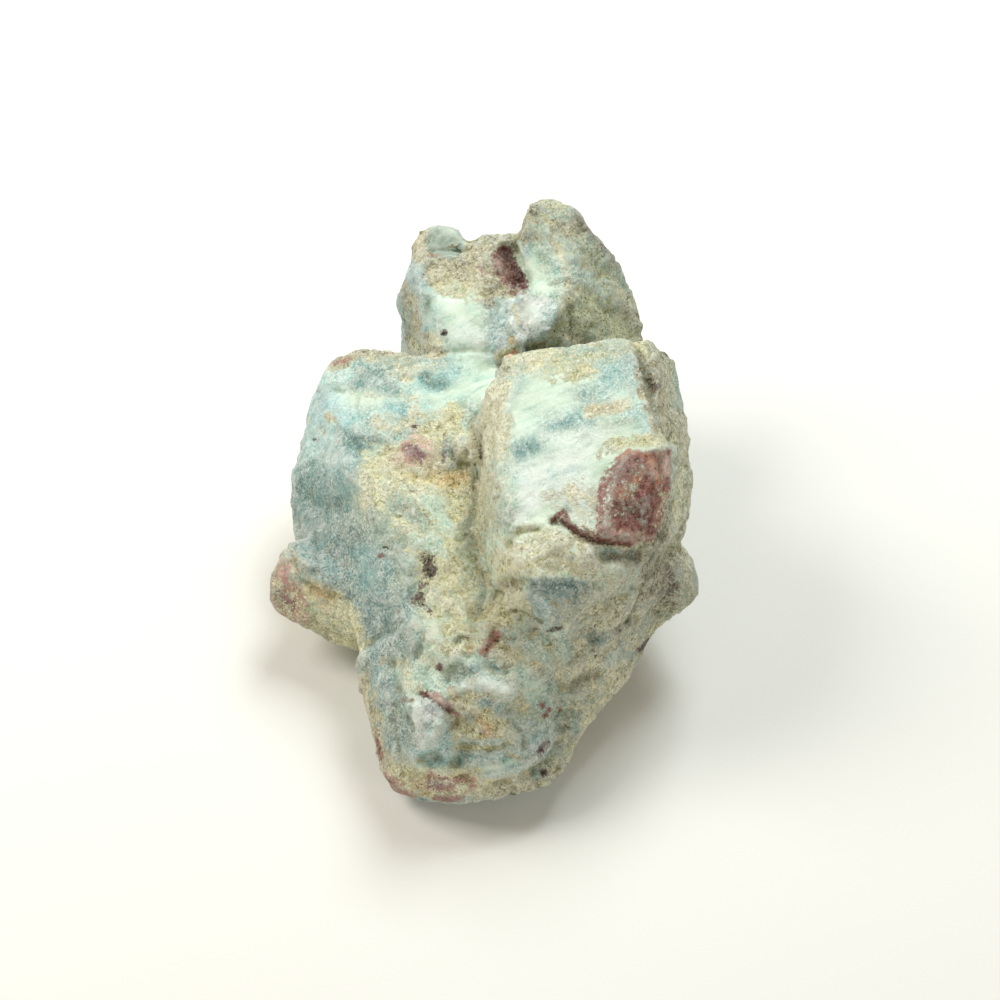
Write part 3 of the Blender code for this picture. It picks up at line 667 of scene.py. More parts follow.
    # painted shade: dark in the skirt's two small pits
    ("umber", 0.5, 1, 7, (543, 773)),
    ("umber", 0.8, 0.95, 7, (566, 727)),
    # the near lobe: its upper left
    ("sage", 1.5, 1, 110, (400, 640), (435, 700), (500, 700)),
    ("cream", 1.0, 0.4, 110, (400, 640), (435, 700), (500, 700)),
    ("slate", 1.2, 1, 34, (380, 640), (384, 690), (392, 740)),
    ("celadon", 1.15, 0.9, 30, (396, 664), (414, 676), (432, 690)),
    ("sand", 1.1, 0.7, 22, (384, 658), (404, 662), (414, 680)),
    ("mist", 0.9, 0.8, 12, (376, 676), (390, 686), (386, 700)),
    ("ochre", 1.05, 0.9, 5, (381, 660), (386, 656)),
    ("ochre", 1.0, 0.9, 5, (400, 664), (405, 660)),
    # its knobs
    ("sage", 1.45, 1, 19, (414, 624), (413, 644)),
    ("celadon", 1.15, 0.9, 8, (411, 618), (422, 616)),
    ("tan", 1.2, 0.7, 6, (413, 624), (418, 628)),
    ("mist", 1.2, 1, 8, (407, 644), (412, 652)),
    ("mint", 0.95, 1, 9, (428, 621), (438, 625)),
    ("slate", 0.8, 0.9, 4, (425, 634), (420, 648), (416, 657)),
    ("celadon", 1.6, 1, 20, (436, 634), (432, 650), (426, 664)),
    ("cream", 1.08, 0.62, 16, (430, 648), (424, 668), (412, 682)),
    ("celadon", 1.15, 1, 14, (424, 676), (440, 684), (450, 690)),
    ("sand", 1.22, 0.95, 24, (446, 612), (470, 616), (500, 618)),
    ("tan", 1.3, 0.75, 10, (450, 630), (470, 628), (500, 626)),
    ("sand", 1.1, 0.85, 10, (446, 634), (449, 648)),
    ("cream", 1.12, 1, 11, (464, 643), (458, 656)),
    ("ochre", 0.95, 0.6, 5, (464, 652), (470, 646)),
    ("mint", 1.25, 0.9, 7, (450, 660), (462, 664), (472, 660)),
    ("ochre", 0.95, 0.7, 9, (470, 650), (478, 658), (466, 668)),
    ("umber", 0.9, 1, 3.5, (459, 641), (463, 637), (468, 639)),
    # the granular patch to their right
    ("sand", 1.05, 0.85, 30, (504, 642), (520, 650), (528, 662)),
    ("rose", 1.7, 0.3, 20, (508, 650), (520, 660)),
    ("drab", 2.0, 0.4, 20, (506, 636), (524, 644), (536, 654)),
    ("sage", 1.4, 0.9, 14, (538, 644), (546, 660), (552, 680)),
    ("sand", 1.15, 0.6, 8, (549, 650), (557, 668), (562, 690)),
    ("slate", 1.15, 0.9, 7, (486, 661), (494, 666)),
    ("teal", 1.0, 0.8, 5, (498, 671), (507, 672)),
    ("umber", 0.4, 1, 5, (482, 674)),
    ("wine", 2.4, 0.8, 10, (497, 634), (490, 644), (484, 655)),
    ("rust", 1.2, 0.95, 6, (479, 658), (484, 652)),
    # the hollow and the white crest below it
    ("celadon", 1.15, 1, 15, (450, 668), (462, 666), (478, 664)),
    ("slate", 1.45, 0.95, 10, (458, 676), (468, 673), (480, 668)),
    ("slate", 1.3, 0.9, 7, (446, 680), (458, 682)),
    ("wine", 1.1, 0.95, 6, (439, 667)),
    ("oxblood", 0.8, 1, 5, (440, 668)),
    # pale larimar along the crest, and in part a painted highlight on it
    ("ice", 1.05, 0.85, 13, (486, 681), (498, 685), (507, 691)),
    ("ice", 0.95, 0.8, 5, (463, 684), (474, 687), (484, 690)),
    ("cream", 1.1, 0.85, 6, (470, 694), (482, 698), (492, 700)),
    ("tan", 1.1, 0.8, 8, (452, 690), (456, 702), (468, 706)),
    ("ochre", 0.75, 0.6, 4, (476, 702), (484, 706)),
    ("celadon", 1.28, 1, 18, (524, 672), (532, 684), (536, 698)),
    ("cream", 1.05, 0.6, 10, (530, 668), (542, 666)),
    ("slate", 1.35, 1, 10, (484, 704), (498, 710), (514, 712)),
    # its right side
    ("sage", 1.25, 0.9, 26, (514, 716), (530, 716), (540, 736)),
    ("sand", 1.08, 0.5, 16, (520, 706), (534, 720), (524, 738)),
    ("sage", 1.25, 0.9, 10, (544, 700), (552, 712), (552, 728)),
    ("slate", 1.5, 0.7, 8, (516, 726), (526, 734), (518, 744)),
    ("mist", 1.1, 0.8, 6, (530, 722), (540, 728)),
    # the tan and rusty middle
    ("sand", 1.2, 0.85, 24, (466, 718), (484, 724), (500, 734)),
    ("drab", 2.2, 0.45, 12, (462, 716), (474, 720)),
    ("ochre", 1.12, 0.8, 7, (480, 720), (490, 728), (484, 736)),
    ("rose", 1.3, 0.4, 12, (484, 730), (494, 736)),
    ("sand", 1.25, 0.85, 8, (450, 738), (462, 733), (474, 738)),
    ("sage", 1.2, 0.8, 9, (462, 744), (480, 746), (500, 742)),
    ("sand", 1.25, 0.85, 5, (440, 750), (470, 748), (500, 750), (516, 758)),
    # the boulder in its red notch
    ("lilac", 0.9, 1, 4, (421, 695), (411, 707), (410, 720), (419, 727), (433, 723), (446, 711), (436, 702),
     (421, 695)),
    ("ice", 0.95, 0.8, 7, (417, 702), (414, 712), (416, 720)),
    ("mist", 1.55, 1, 12, (428, 728), (432, 742)),
    ("lilac", 0.95, 0.9, 9, (419, 730), (418, 742)),
    ("ice", 1.18, 0.9, 7, (423, 744), (420, 752)),
    ("slate", 1.75, 0.9, 10, (444, 722), (446, 736), (440, 746)),
    ("drab", 2.4, 0.5, 10, (450, 718), (448, 728)),
    ("wine", 2.0, 0.9, 5, (422, 692), (438, 698), (450, 709), (458, 716)),
    ("oxblood", 1.5, 0.9, 3, (420, 693), (430, 697), (442, 706), (450, 712)),
    ("rose", 1.5, 0.7, 6, (434, 694), (448, 702)),
    ("wine", 1.3, 0.7, 5, (399, 704), (406, 698), (412, 700)),
    # its lower left
    ("sage", 0.95, 1, 16, (398, 712), (394, 730)),
    ("cream", 1.08, 0.6, 6, (380, 720), (384, 730)),
    ("slate", 1.15, 0.9, 12, (402, 726), (404, 744)),
    ("mist", 1.6, 0.9, 9, (410, 752), (422, 758)),
    ("ice", 1.15, 0.9, 7, (412, 760), (418, 768)),
    # the teal band over its rim
    ("mist", 1.3, 0.9, 14, (430, 756), (446, 752)),
    ("teal", 1.6, 0.7, 9, (420, 768), (436, 768), (450, 760)),
    ("deep_teal", 2.0, 0.9, 5, (457, 768), (459, 758), (462, 752)),
    ("sage", 1.3, 0.9, 14, (470, 772), (490, 762), (506, 754)),
    ("mist", 1.3, 0.9, 9, (476, 758), (496, 756)),
    ("mint", 0.95, 0.9, 6, (484, 770), (504, 766), (520, 760)),
    ("mist", 1.2, 0.9, 10, (524, 756), (536, 746), (546, 734)),
    ("ice", 0.95, 0.7, 4, (554, 728), (548, 750), (530, 764), (508, 772), (484, 778)),
    ("ochre", 0.9, 0.6, 4, (510, 756), (520, 760)),
    ("plum", 1.8, 0.9, 7, (547, 744), (540, 752)),
    ("oxblood", 1.3, 0.7, 3, (546, 745), (540, 758)),
    ("rust", 0.8, 1, 5, (543, 705)),
    ("rust", 0.8, 1, 5, (550, 710)),
    ("rust", 0.7, 1, 5, (546, 716)),
    ("rust", 0.8, 1, 5, (561, 710)),
    # its left edge and its rim
    ("tan", 1.15, 0.85, 16, (360, 650), (362, 690), (374, 735), (384, 762)),
    ("sand", 1.0, 0.5, 12, (372, 690), (380, 716)),
    ("rust", 1.0, 0.6, 4, (357, 680), (359, 698)),
    ("wine", 1.3, 0.8, 6, (377, 738), (381, 762)),
    ("sand", 1.2, 0.9, 26, (396, 778), (430, 786), (468, 782)),
    ("sand", 1.25, 0.8, 10, (404, 774), (420, 776)),
    ("ochre", 0.9, 0.6, 9, (412, 780), (424, 790)),
    ("wine", 2.0, 0.75, 13, (385, 777), (400, 790), (412, 797)),
    ("wine", 2.1, 0.75, 15, (434, 782), (450, 788), (470, 784)),
    ("plum", 1.6, 0.6, 7, (430, 784), (444, 782)),
    ("cream", 1.1, 0.9, 7, (460, 788), (466, 786)),
    ("wine", 1.5, 0.8, 6, (434, 799), (448, 801), (462, 798)),
    # the left lobe: its crest
    ("aqua", 1.28, 1, 80, (345, 390), (385, 400), (435, 395)),
    ("tan", 0.95, 0.85, 13, (334, 364), (350, 357), (398, 353), (442, 354)),
    ("sand", 0.85, 0.5, 12, (368, 361), (420, 361)),
    ("wine", 1.8, 0.7, 5, (335, 364), (349, 359)),
    ("wine", 1.2, 0.7, 7, (418, 360), (427, 362)),
    ("sage", 1.05, 0.6, 12, (360, 369), (404, 370)),
    # its aqua and teal face
    ("mint", 0.96, 1, 24, (335, 412), (352, 404), (378, 400)),
    ("sky", 1.2, 1, 24, (326, 402), (336, 414), (350, 424)),
    ("aqua", 1.15, 1, 26, (360, 420), (390, 426), (412, 420)),
    ("mint", 0.94, 1, 30, (436, 398), (450, 386), (478, 388)),
    ("cream", 1.08, 0.5, 24, (440, 366), (428, 372), (400, 372)),
    ("cream", 1.1, 0.4, 22, (362, 392), (388, 392), (414, 402)),
    ("teal", 1.75, 0.95, 16, (428, 382), (438, 384), (450, 376)),
    ("deep_teal", 1.5, 0.9, 8, (426, 377), (434, 385), (444, 382)),
    ("slate", 1.2, 0.8, 14, (360, 384), (372, 380), (390, 388)),
    ("teal", 1.5, 0.8, 13, (392, 408), (404, 414)),
    ("sky", 0.95, 1, 16, (320, 396), (317, 420)),
    ("tan", 1.1, 0.62, 12, (328, 416), (340, 432), (352, 438)),
    ("wine", 1.3, 0.9, 3.5, (337, 417)),
    ("aqua", 1.05, 1, 22, (296, 470), (302, 456), (312, 440)),
    ("sky", 1.1, 1, 34, (322, 446), (332, 462)),
    # pale larimar, and in part a painted highlight
    ("ice", 1.15, 0.85, 14, (318, 458), (334, 462)),
    ("teal", 1.5, 0.8, 20, (304, 474), (314, 464)),
    ("slate", 1.0, 0.9, 20, (346, 438), (358, 444), (372, 450)),
    ("teal", 1.1, 1, 14, (346, 434), (356, 444), (370, 448)),
    ("deep_teal", 1.2, 0.8, 6, (350, 436), (358, 446)),
    ("teal", 1.3, 0.7, 10, (378, 451), (370, 458)),
    ("aqua", 1.25, 0.9, 14, (384, 444), (398, 450)),
    ("sky", 1.05, 1, 16, (350, 464), (334, 474)),
    ("umber", 0.4, 1, 5, (314, 439)),
    # its shaded left face
    ("slate", 1.1, 1, 90, (325, 510), (345, 545), (375, 585), (378, 625)),
    ("teal", 0.95, 0.95, 34, (310, 490), (325, 500), (340, 500)),
    ("deep_teal", 1.5, 0.85, 16, (320, 496), (338, 504)),
    ("teal", 1.4, 0.7, 20, (340, 478), (354, 488)),
    ("mist", 0.84, 0.9, 30, (308, 540), (322, 546), (330, 562)),
    ("aqua", 0.9, 0.5, 16, (330, 520), (322, 532)),
    ("teal", 1.3, 0.9, 22, (366, 554), (374, 568), (366, 582)),
    ("mist", 1.1, 0.9, 24, (390, 556), (398, 580), (396, 606)),
    ("slate", 1.2, 0.8, 24, (374, 606), (384, 628)),
    ("celadon", 0.95, 0.8, 24, (360, 510), (384, 536)),
    ("umber", 0.6, 1, 5, (385, 547), (389, 549)),
    ("brick", 0.9, 1, 5, (381, 556)),
    # its crust
    ("celadon", 1.12, 1, 60, (400, 480), (430, 505), (450, 560), (452, 600)),
    ("sand", 1.25, 0.85, 60, (388, 480), (420, 488), (450, 500)),
    ("sand", 1.18, 0.7, 62, (410, 512), (438, 545), (450, 578), (450, 605)),
    ("cream", 1.1, 0.6, 26, (392, 488), (420, 496)),
    ("cream", 1.1, 0.6, 22, (430, 596), (456, 606), (440, 612)),
    ("ochre", 1.35, 0.85, 16, (416, 474), (440, 474), (456, 482)),
    ("ochre", 1.16, 1, 12, (446, 479), (462, 477)),
    ("sand", 1.15, 0.82, 26, (456, 412), (444, 430), (420, 446)),
    ("tan", 1.5, 0.75, 18, (395, 458), (420, 466), (440, 462)),
    ("cream", 1.1, 0.6, 18, (436, 414), (404, 424), (380, 424)),
    ("cream", 1.12, 0.9, 10, (364, 472), (371, 488), (368, 504)),
    ("celadon", 1.35, 0.95, 20, (430, 504), (446, 520)),
    ("celadon", 1.2, 0.9, 18, (416, 538), (434, 544)),
    ("cream", 1.05, 0.66, 8, (408, 528), (420, 534)),
    ("sage", 1.2, 0.8, 14, (398, 502), (416, 514)),
    ("drab", 1.8, 0.4, 18, (394, 506), (410, 514), (428, 524)),
    ("celadon", 0.95, 0.8, 18, (404, 560), (398, 580)),
    ("olive", 1.5, 0.6, 16, (466, 530), (470, 556), (468, 580)),
    ("rose", 2.1, 0.55, 22, (408, 456), (416, 442), (426, 450)),
    ("plum", 3.0, 0.8, 10, (410, 449), (420, 455)),
    ("umber", 1.0, 0.9, 5, (414, 427)),
    ("umber", 1.6, 0.7, 5, (444, 434), (446, 446), (443, 462)),
    ("umber", 2.6, 0.7, 14, (427, 560), (430, 576), (420, 592), (416, 600)),
    ("umber", 1.4, 0.7, 9, (430, 560), (434, 574)),
    ("umber", 1.4, 0.62, 8, (422, 602), (430, 612)),
    ("drab", 1.6, 0.4, 6, (474, 470), (474, 500), (469, 530), (474, 555), (482, 575), (483, 600),
     (476, 614)),
    # the left spur
    ("sand", 1.25, 0.95, 36, (308, 604), (335, 620), (352, 640)),
    ("sand", 1.25, 0.65, 22, (316, 606), (342, 626)),
    ("mauve", 2.2, 0.7, 32, (284, 566), (282, 595), (290, 612)),
    ("rust", 1.3, 0.4, 22, (276, 590), (286, 610)),
    ("plum", 2.2, 0.5, 12, (278, 592), (290, 606)),
    ("tan", 1.1, 0.5, 16, (290, 550), (300, 572)),
    ("ochre", 1.1, 0.7, 12, (316, 590), (326, 602)),
)


# How often the solid's facets are averaged out, and how often stretched skin is relaxed
EVEN_ROUNDS = 5
RELAX_ROUNDS = 8
# How the skin is broken into flat faces: their size in millimetres, how strongly they are flattened, how
# far a turn of the skin parts them, and the seed of their draw
BREAKS = ((7.0, 0.7, 9.0, 5), (3.2, 0.6, 4.0, 6))
# How many points are set against the faces' seeds at a time
CHUNK = 4000
# How often a gap's points move to their neighbours' mean
GAP_ROUNDS = 500
# How wide the edge of a flat face is eased, in pixels, and how many of its radii deep it takes in points
FLAT_EDGE = 5.0
FLAT_DEPTH = 1.6
# The grain: how high its broken facets, then its folds, stand, their size in millimetres and their seed,
# and how far all of it is sunk
FACETS = ((0.5, 2.8, 41), (0.3, 1.6, 43))
FOLDS = ((1.1, 4.6, 45), (0.7, 2.3, 47), (0.3, 1.3, 49))
SUNK = 0.7
# The hollows: how often the skin is averaged, and how far under that a full hollow lies, in millimetres
HOLLOWS = ((8, 0.25), (40, 0.9))
# Skin lower than this, in millimetres, that faces down more than this is what the stone rests on
RESTING_HEIGHT = 0.25
RESTING_TURN = -0.5
# Points of the solid's mesh that are nearer to each other than this, in metres, are one
MERGED = 1e-6


def colour(name, description, default):
    """A colour property, in linear light."""
    return FloatVectorProperty(name=name, description=description, subtype="COLOR", size=3,
                               min=0.0, max=1.0, default=default)


class LarimarStoneSettings(bpy.types.PropertyGroup):
    """The stone's sizes and finishes."""

    skin_step: FloatProperty(
        name="Skin step", description="Distance between the points of the fine skin",
        default=0.00045, min=0.0003, max=0.002, precision=5, unit="LENGTH")
    break_height: FloatProperty(
        name="Break height", description="How far the small broken faces stand out",
        default=0.0004, min=0.0, max=0.003, precision=5, unit="LENGTH")
    crust_height: FloatProperty(
        name="Crust height", description="How far the crust's lumps stand out",
        default=0.0002, min=0.0, max=0.002, precision=5, unit="LENGTH")
    ice: colour("Ice", "Whitest larimar", (0.74, 0.82, 0.77))
    mint: colour("Mint", "Pale waxy green", (0.62, 0.76, 0.63))
    aqua: colour("Aqua", "Pale blue-green", (0.49, 0.66, 0.61))
    celadon: colour("Celadon", "Greyish pale green", (0.50, 0.60, 0.48))
    sea_green: colour("Sea green", "Clear green", (0.33, 0.45, 0.37))
    sky: colour("Sky", "Pale clear blue", (0.47, 0.66, 0.67))
    mist: colour("Mist", "Pale grey-blue", (0.47, 0.57, 0.55))
    lilac: colour("Lilac", "White with a breath of violet", (0.62, 0.65, 0.64))
    sage: colour("Sage", "Dull grey-green", (0.42, 0.47, 0.38))
    slate: colour("Slate", "Shaded grey-blue", (0.285, 0.375, 0.35))
    teal: colour("Teal", "Blue-green veins", (0.22, 0.37, 0.36))
    deep_teal: colour("Deep teal", "Darkest blue-green", (0.10, 0.20, 0.19))
    cream: colour("Cream", "Palest crust", (0.86, 0.86, 0.65))
    sand: colour("Sand", "Yellowish crust", (0.77, 0.75, 0.47))
    tan: colour("Tan", "Brownish crust", (0.60, 0.54, 0.38))
    ochre: colour("Ochre", "Rust-yellow crust", (0.82, 0.60, 0.29))
    olive: colour("Olive", "Greenish crust", (0.42, 0.46, 0.30))
    khaki: colour("Khaki", "Grey-green crust", (0.53, 0.53, 0.40))
    drab: colour("Drab", "Dark grey-brown crust", (0.23, 0.23, 0.17))
    rose: colour("Rose", "Pinkish stain", (0.48, 0.32, 0.28))
    mauve: colour("Mauve", "Brownish violet stain", (0.30, 0.17, 0.15))
    rust: colour("Rust", "Orange-brown stain", (0.40, 0.15, 0.07))
    brick: colour("Brick", "Red stain", (0.19, 0.075, 0.058))
    wine: colour("Wine", "Brownish red stain", (0.30, 0.17, 0.14))
    oxblood: colour("Oxblood", "Darkest red stain", (0.085, 0.03, 0.025))
    plum: colour("Plum", "Dark violet stain", (0.12, 0.07, 0.08))
    # umber is black pits and cracks; laid into the cut pits, grooves and creases it is in part painted shade
    umber: colour("Umber", "Nearly black pits", (0.045, 0.038, 0.028))


class LarimarStageSettings(bpy.types.PropertyGroup):
    """The floor and the light."""

    floor: colour("Floor", "The plain pale floor", (0.83, 0.825, 0.81))
    back_power: FloatProperty(
        name="Back light", description="Power of the large soft light above the back right",
        default=1.52, min=0.0, unit="POWER")
    back_tint: colour("Back tint", "Colour of the back light", (0.93, 1.0, 0.99))
    left_power: FloatProperty(
        name="Left light", description="Power of the large soft light above the left",
        default=1.25, min=0.0, unit="POWER")
    left_tint: colour("Left tint", "Colour of the left light", (1.0, 0.96, 0.87))
    front_left_power: FloatProperty(
        name="Front left light", description="Power of the low weak light at the front left",
        default=0.25, min=0.0, unit="POWER")
    front_right_power: FloatProperty(
        name="Front right light", description="Power of the low weak light at the front right",
        default=0.42, min=0.0, unit="POWER")
    front_tint: colour("Front tint", "Colour of the weak lights in front", (1.0, 0.95, 0.84))
    light_size: FloatProperty(
        name="Light size", description="Width of the soft lights", default=0.2, min=0.01, unit="LENGTH")
    fill: FloatProperty(
        name="Fill", description="Strength of the even light from all round", default=0.26, min=0.0)
    fill_tint: colour("Fill tint", "Colour of the even light", (1.0, 0.93, 0.80))


# No tint is paler than this, and no thinner layer changes a tint
PALEST = 0.94
THINNEST = 1e-6
# The finishes of the crust and of the stain
CRUSTS = ("cream", "sand", "tan", "ochre", "olive", "khaki", "drab")
STAINS = ("rose", "mauve", "rust", "brick", "wine", "oxblood", "plum", "umber")
# How smooth and satin each kind of larimar is: 0 is rough and frosted
SATIN = {"mint": 1.0, "ice": 0.85, "sea_green": 0.9, "lilac": 0.25, "sky": 0.4, "celadon": 0.3, "aqua": 0.25,
         "teal": 0.35, "deep_teal": 0.4, "slate": 0.15, "mist": 0.0, "sage": 0.0}


def laid_over(cover, tint, share, amount, shade):
    """A layer's cover and tint after one more coat: cover and cover times tint are mixed by the share."""
    after = cover * (1.0 - share) + amount * share
    both = (cover * (1.0 - share))[:, None] * tint + (amount * share)[:, None] * shade
    return after, np.where(after[:, None] > THINNEST, both / np.maximum(after, THINNEST)[:, None], tint)


class Paint:
    """The colours on the skin: the larimar's own, and the cover and tint of the crust and of the stain."""

    def __init__(self, skin, settings):
        self.skin = skin
        self.front = skin.front()
        self.shades = {name: np.array(getattr(settings, name)) for name in (*SATIN, *CRUSTS, *STAINS)}
        self.body = np.tile(self.shades["sage"], (skin.count, 1))
        self.satin = np.zeros(skin.count)
        self.crust = np.zeros(skin.count)
        self.crust_tint = np.tile(self.shades["tan"], (skin.count, 1))
        self.stain = np.zeros(skin.count)
        self.stain_tint = np.tile(self.shades["brick"], (skin.count, 1))

    def coat(self, name, bright, amount, share):
        """Lays one finish over the others, by a share from 0 to 1 at each point. Larimar mixes into the
        body's colour and takes the crust and stain off by its share, and crust takes off the stain."""
        shade = self.shades[name] * bright
        amount = np.full(self.skin.count, float(amount))
        if name in STAINS:
            self.stain, self.stain_tint = laid_over(self.stain, self.stain_tint, share, amount, shade)
            return
        if name in CRUSTS:
            self.crust, self.crust_tint = laid_over(self.crust, self.crust_tint, share, amount, shade)
        else:
            share = share * amount
            self.body += share[:, None] * (shade - self.body)
            self.satin += share * (SATIN[name] - self.satin)
            self.crust = self.crust * (1.0 - share)
        self.stain = self.stain * (1.0 - share)

    def stroke(self, tree, worn, row):
        """One stroke: half strong at half its width, eased from full to nothing over four fifths of it and
        two pixels, its edge worn by the noise. An outline is half strong at its edge and eases over twice
        its width. Skin that faces away from the eye stays as it is."""
        name, bright, amount, width, *path = row
        away, _, share = near_stroke(self.skin, tree, path, STROKE_EASE * width / PX_PER_MM + STROKE_REACH)
        if closed(path):
            away = away / (2.0 * width) + OUTLINE_WEAR * worn
        else:
            wear = worn * min(width, WORN_WIDTH) * STROKE_WEAR
            away = (away + wear - 0.5 * width) / (STROKE_EASE * width + 2.0)
        self.coat(name, bright, amount, share * self.front * eased(0.5 - away))


def break_flat(skin, size, strength, turn, seed):
    """Breaks the skin into flat faces of about this size. Scattered seeds each take the points that lie
    nearest and face most nearly the same way, and those points move towards their own plane."""
    wanted = int(skin.area() / size ** 2)
    chosen = np.random.default_rng(seed).choice(skin.count, wanted, replace=False)
    places = np.hstack([skin.points, skin.averaged(skin.normals, 4) * turn])
    owner = np.empty(skin.count, int)
    for start in range(0, skin.count, CHUNK):
        part = places[start:start + CHUNK]
        gap = (part ** 2).sum(axis=1)[:, None] - 2 * part @ places[chosen].T
        owner[start:start + CHUNK] = np.argmin(gap + (places[chosen] ** 2).sum(axis=1), axis=1)
    share = 1.0 / np.maximum(np.bincount(owner, minlength=wanted), 1)[:, None]

    def mean(values):
        """Each face's mean of its points' values."""
        return share * np.stack([np.bincount(owner, column, wanted) for column in values.T], axis=1)

    centre = mean(skin.points)
    facing = mean(skin.normals)
    facing /= np.linalg.norm(facing, axis=1)[:, None] + TINY
    off = np.sum((skin.points - centre[owner]) * facing[owner], axis=1)
    skin.points = skin.points - strength * off[:, None] * facing[owner]
    skin.points = skin.averaged(skin.points, 2)
    skin.settle()


def cut_skin(skin, tree):
    """The height of every cut at every point: a groove or knob is an eased dome, a crease or ridge falls
    off straight, and a step drops on one side and recovers straight."""
    height = np.zeros(skin.count)
    for row in CUTS:
        kind, width, depth, *path = row
        away, side, share = near_stroke(skin, tree, path, width / PX_PER_MM + CUT_REACH)
        near = np.clip(1.0 - away / (width * CUT_SPREAD), 0.0, 1.0)
        if kind == "step":
            height += share * depth * near * (side > 0)
        elif kind in ("crease", "ridge"):
            height += share * near * (depth if kind == "ridge" else -depth)
        else:
            height += share * eased(near) * (depth if kind == "knob" else -depth)
    return height * skin.front()


def fill_gaps(skin, tree):
    """Stretches a skin over each gap: its points move to their neighbours' mean again and again, while
    those around it stay."""
    loose = np.zeros(skin.count, bool)
    for width, reach, place in GAPS:
        away, _, share = near_stroke(skin, tree, (place,), reach)
        loose |= (away < width) & (share > 0.5)
    for _ in range(GAP_ROUNDS):
        skin.points = np.where(loose[:, None], skin.averaged(skin.points, 1), skin.points)
    skin.settle()


def flatten(skin, tree):
    """Moves the points inside each outline towards the plane that fits them best, less near its edge, and
    gives back how flat each point is meant to be, from 0 to 1."""
    flat = np.zeros(skin.count)
    for row in FLATS:
        strength = row[0]
        outline = row[1:]
        middle = np.mean(outline, axis=0)
        spots = met_by(tree, [middle])
        deep = np.linalg.norm(skin.points - spots[0], axis=1)
        reach = max(np.linalg.norm(np.array(place) - middle) for place in outline) / PX_PER_MM * FLAT_DEPTH
        chosen = inside(skin.seen, outline) & (deep < reach) & (skin.front() > 0.5)
        edge, _ = distance_to(skin.seen, outline + outline[:1])
        share = strength * eased(edge / FLAT_EDGE) * chosen
        centre = skin.points[chosen].mean(axis=0)
        direction = np.linalg.svd(skin.points[chosen] - centre, full_matrices=False)[2][2]
        off = (skin.points - centre) @ direction
        skin.points = skin.points - (share * off)[:, None] * direction
        flat = np.maximum(flat, share)
    return flat


def fine_mesh(source, step):
    """A copy of the solid's mesh, its doubles merged, resampled in even quads by a voxel Remesh."""
    mesh = source.data.copy()
    net = bmesh.new()
    net.from_mesh(mesh)
    bmesh.ops.remove_doubles(net, verts=net.verts, dist=MERGED)
    net.to_mesh(mesh)
    net.free()
    rough = bpy.data.objects.new("rough", mesh)
    bpy.context.scene.collection.objects.link(rough)
    remesh = rough.modifiers.new("Even skin", "REMESH")
    remesh.mode = "VOXEL"
    remesh.voxel_size = step
    evaluated = rough.evaluated_get(bpy.context.evaluated_depsgraph_get())
    fine = bpy.data.meshes.new_from_object(evaluated)
    bpy.data.objects.remove(rough)
    return fine


def base_coat(paint, points, normals):
    """What the strokes don't reach: patches of larimar, crust and rust, each where its own noise is high."""
    kinds = clouds(points, 17.0, 101)
    for name, bright, low, high in (("slate", 1.1, 0.0, 0.5), ("mist", 1.0, 0.45, 0.9),
                                    ("aqua", 0.9, -0.1, -0.5), ("mint", 0.92, -0.65, -0.95)):
        paint.coat(name, bright, 1, eased((kinds - low) / (high - low)))
    veins = clouds(points, 9.0, 131)
    paint.coat("teal", 1.3, 1, 0.8 * eased((veins - 0.45) / 0.5))
    paint.coat("celadon", 1.0, 1, 0.8 * eased((-veins - 0.4) / 0.5))
    crust = clouds(points, 13.0, 151) - 0.2 * normals[:, 2]
    for name, bright, low, amount in (("khaki", 1.1, -0.5, 0.6), ("sand", 1.0, -0.1, 0.68),
                                      ("tan", 1.05, 0.4, 0.75), ("cream", 1.05, 0.75, 0.7)):
        paint.coat(name, bright, amount, eased((crust - low) / 0.5))
    rust = clouds(points, 8.0, 171)
    paint.coat("mauve", 1.4, 0.6, eased((rust - 0.7) / 0.3))
    paint.coat("wine", 1.2, 0.7, eased((rust - 0.95) / 0.3))
    paint.coat("ochre", 1.0, 0.6, eased((-rust - 0.8) / 0.3))


def float_attribute(mesh, name, values):
    """One number at each point."""
    mesh.attributes.new(name, "FLOAT", "POINT").data.foreach_set("value", values.astype(np.float32))


def colour_attribute(mesh, name, values):
    """One linear colour at each point."""
    whole = np.ones((len(values), 4), np.float32)
    whole[:, :3] = values
    mesh.attributes.new(name, "FLOAT_COLOR", "POINT").data.foreach_set("color", whole.ravel())


# The material

def put(tree, kind, inputs=(), **settings):
    """One node, with its settings and its inputs, each a value or another node's output."""
    made = tree.nodes.new(kind)
    for name, value in settings.items():
        setattr(made, name, value)
    for name, value in dict(inputs).items():
        socket = made.inputs[name]
        if isinstance(value, bpy.types.NodeSocket):
            tree.links.new(value, socket)
        else:
            socket.default_value = value
    return made


def calc(tree, operation, *values):
    """A Math node's output."""
    return put(tree, "ShaderNodeMath", enumerate(values), operation=operation).outputs[0]


def vector(tree, operation, *values):
    """A Vector Math node's output."""
    return put(tree, "ShaderNodeVectorMath", enumerate(values), operation=operation).outputs[0]


def times(tree, first, *others):
    """Numbers multiplied together."""
    for other in others:
        first = calc(tree, "MULTIPLY", first, other)
    return first


def plus(tree, first, *others):
    """Numbers added up."""
    for other in others:
        first = calc(tree, "ADD", first, other)
    return first


def weighed(tree, *pairs):
    """Numbers times their weights, added up."""
    return plus(tree, *(times(tree, value, weight) for value, weight in pairs))


def span(tree, value, low, high, start=0.0, end=1.0, smooth=False):
    """The value carried from low and high to start and end, and held there beyond them."""
    made = put(tree, "ShaderNodeMapRange", {"Value": value, "From Min": low, "From Max": high,
                                            "To Min": start, "To Max": end},
               interpolation_type="SMOOTHSTEP" if smooth else "LINEAR")
    return made.outputs["Result"]


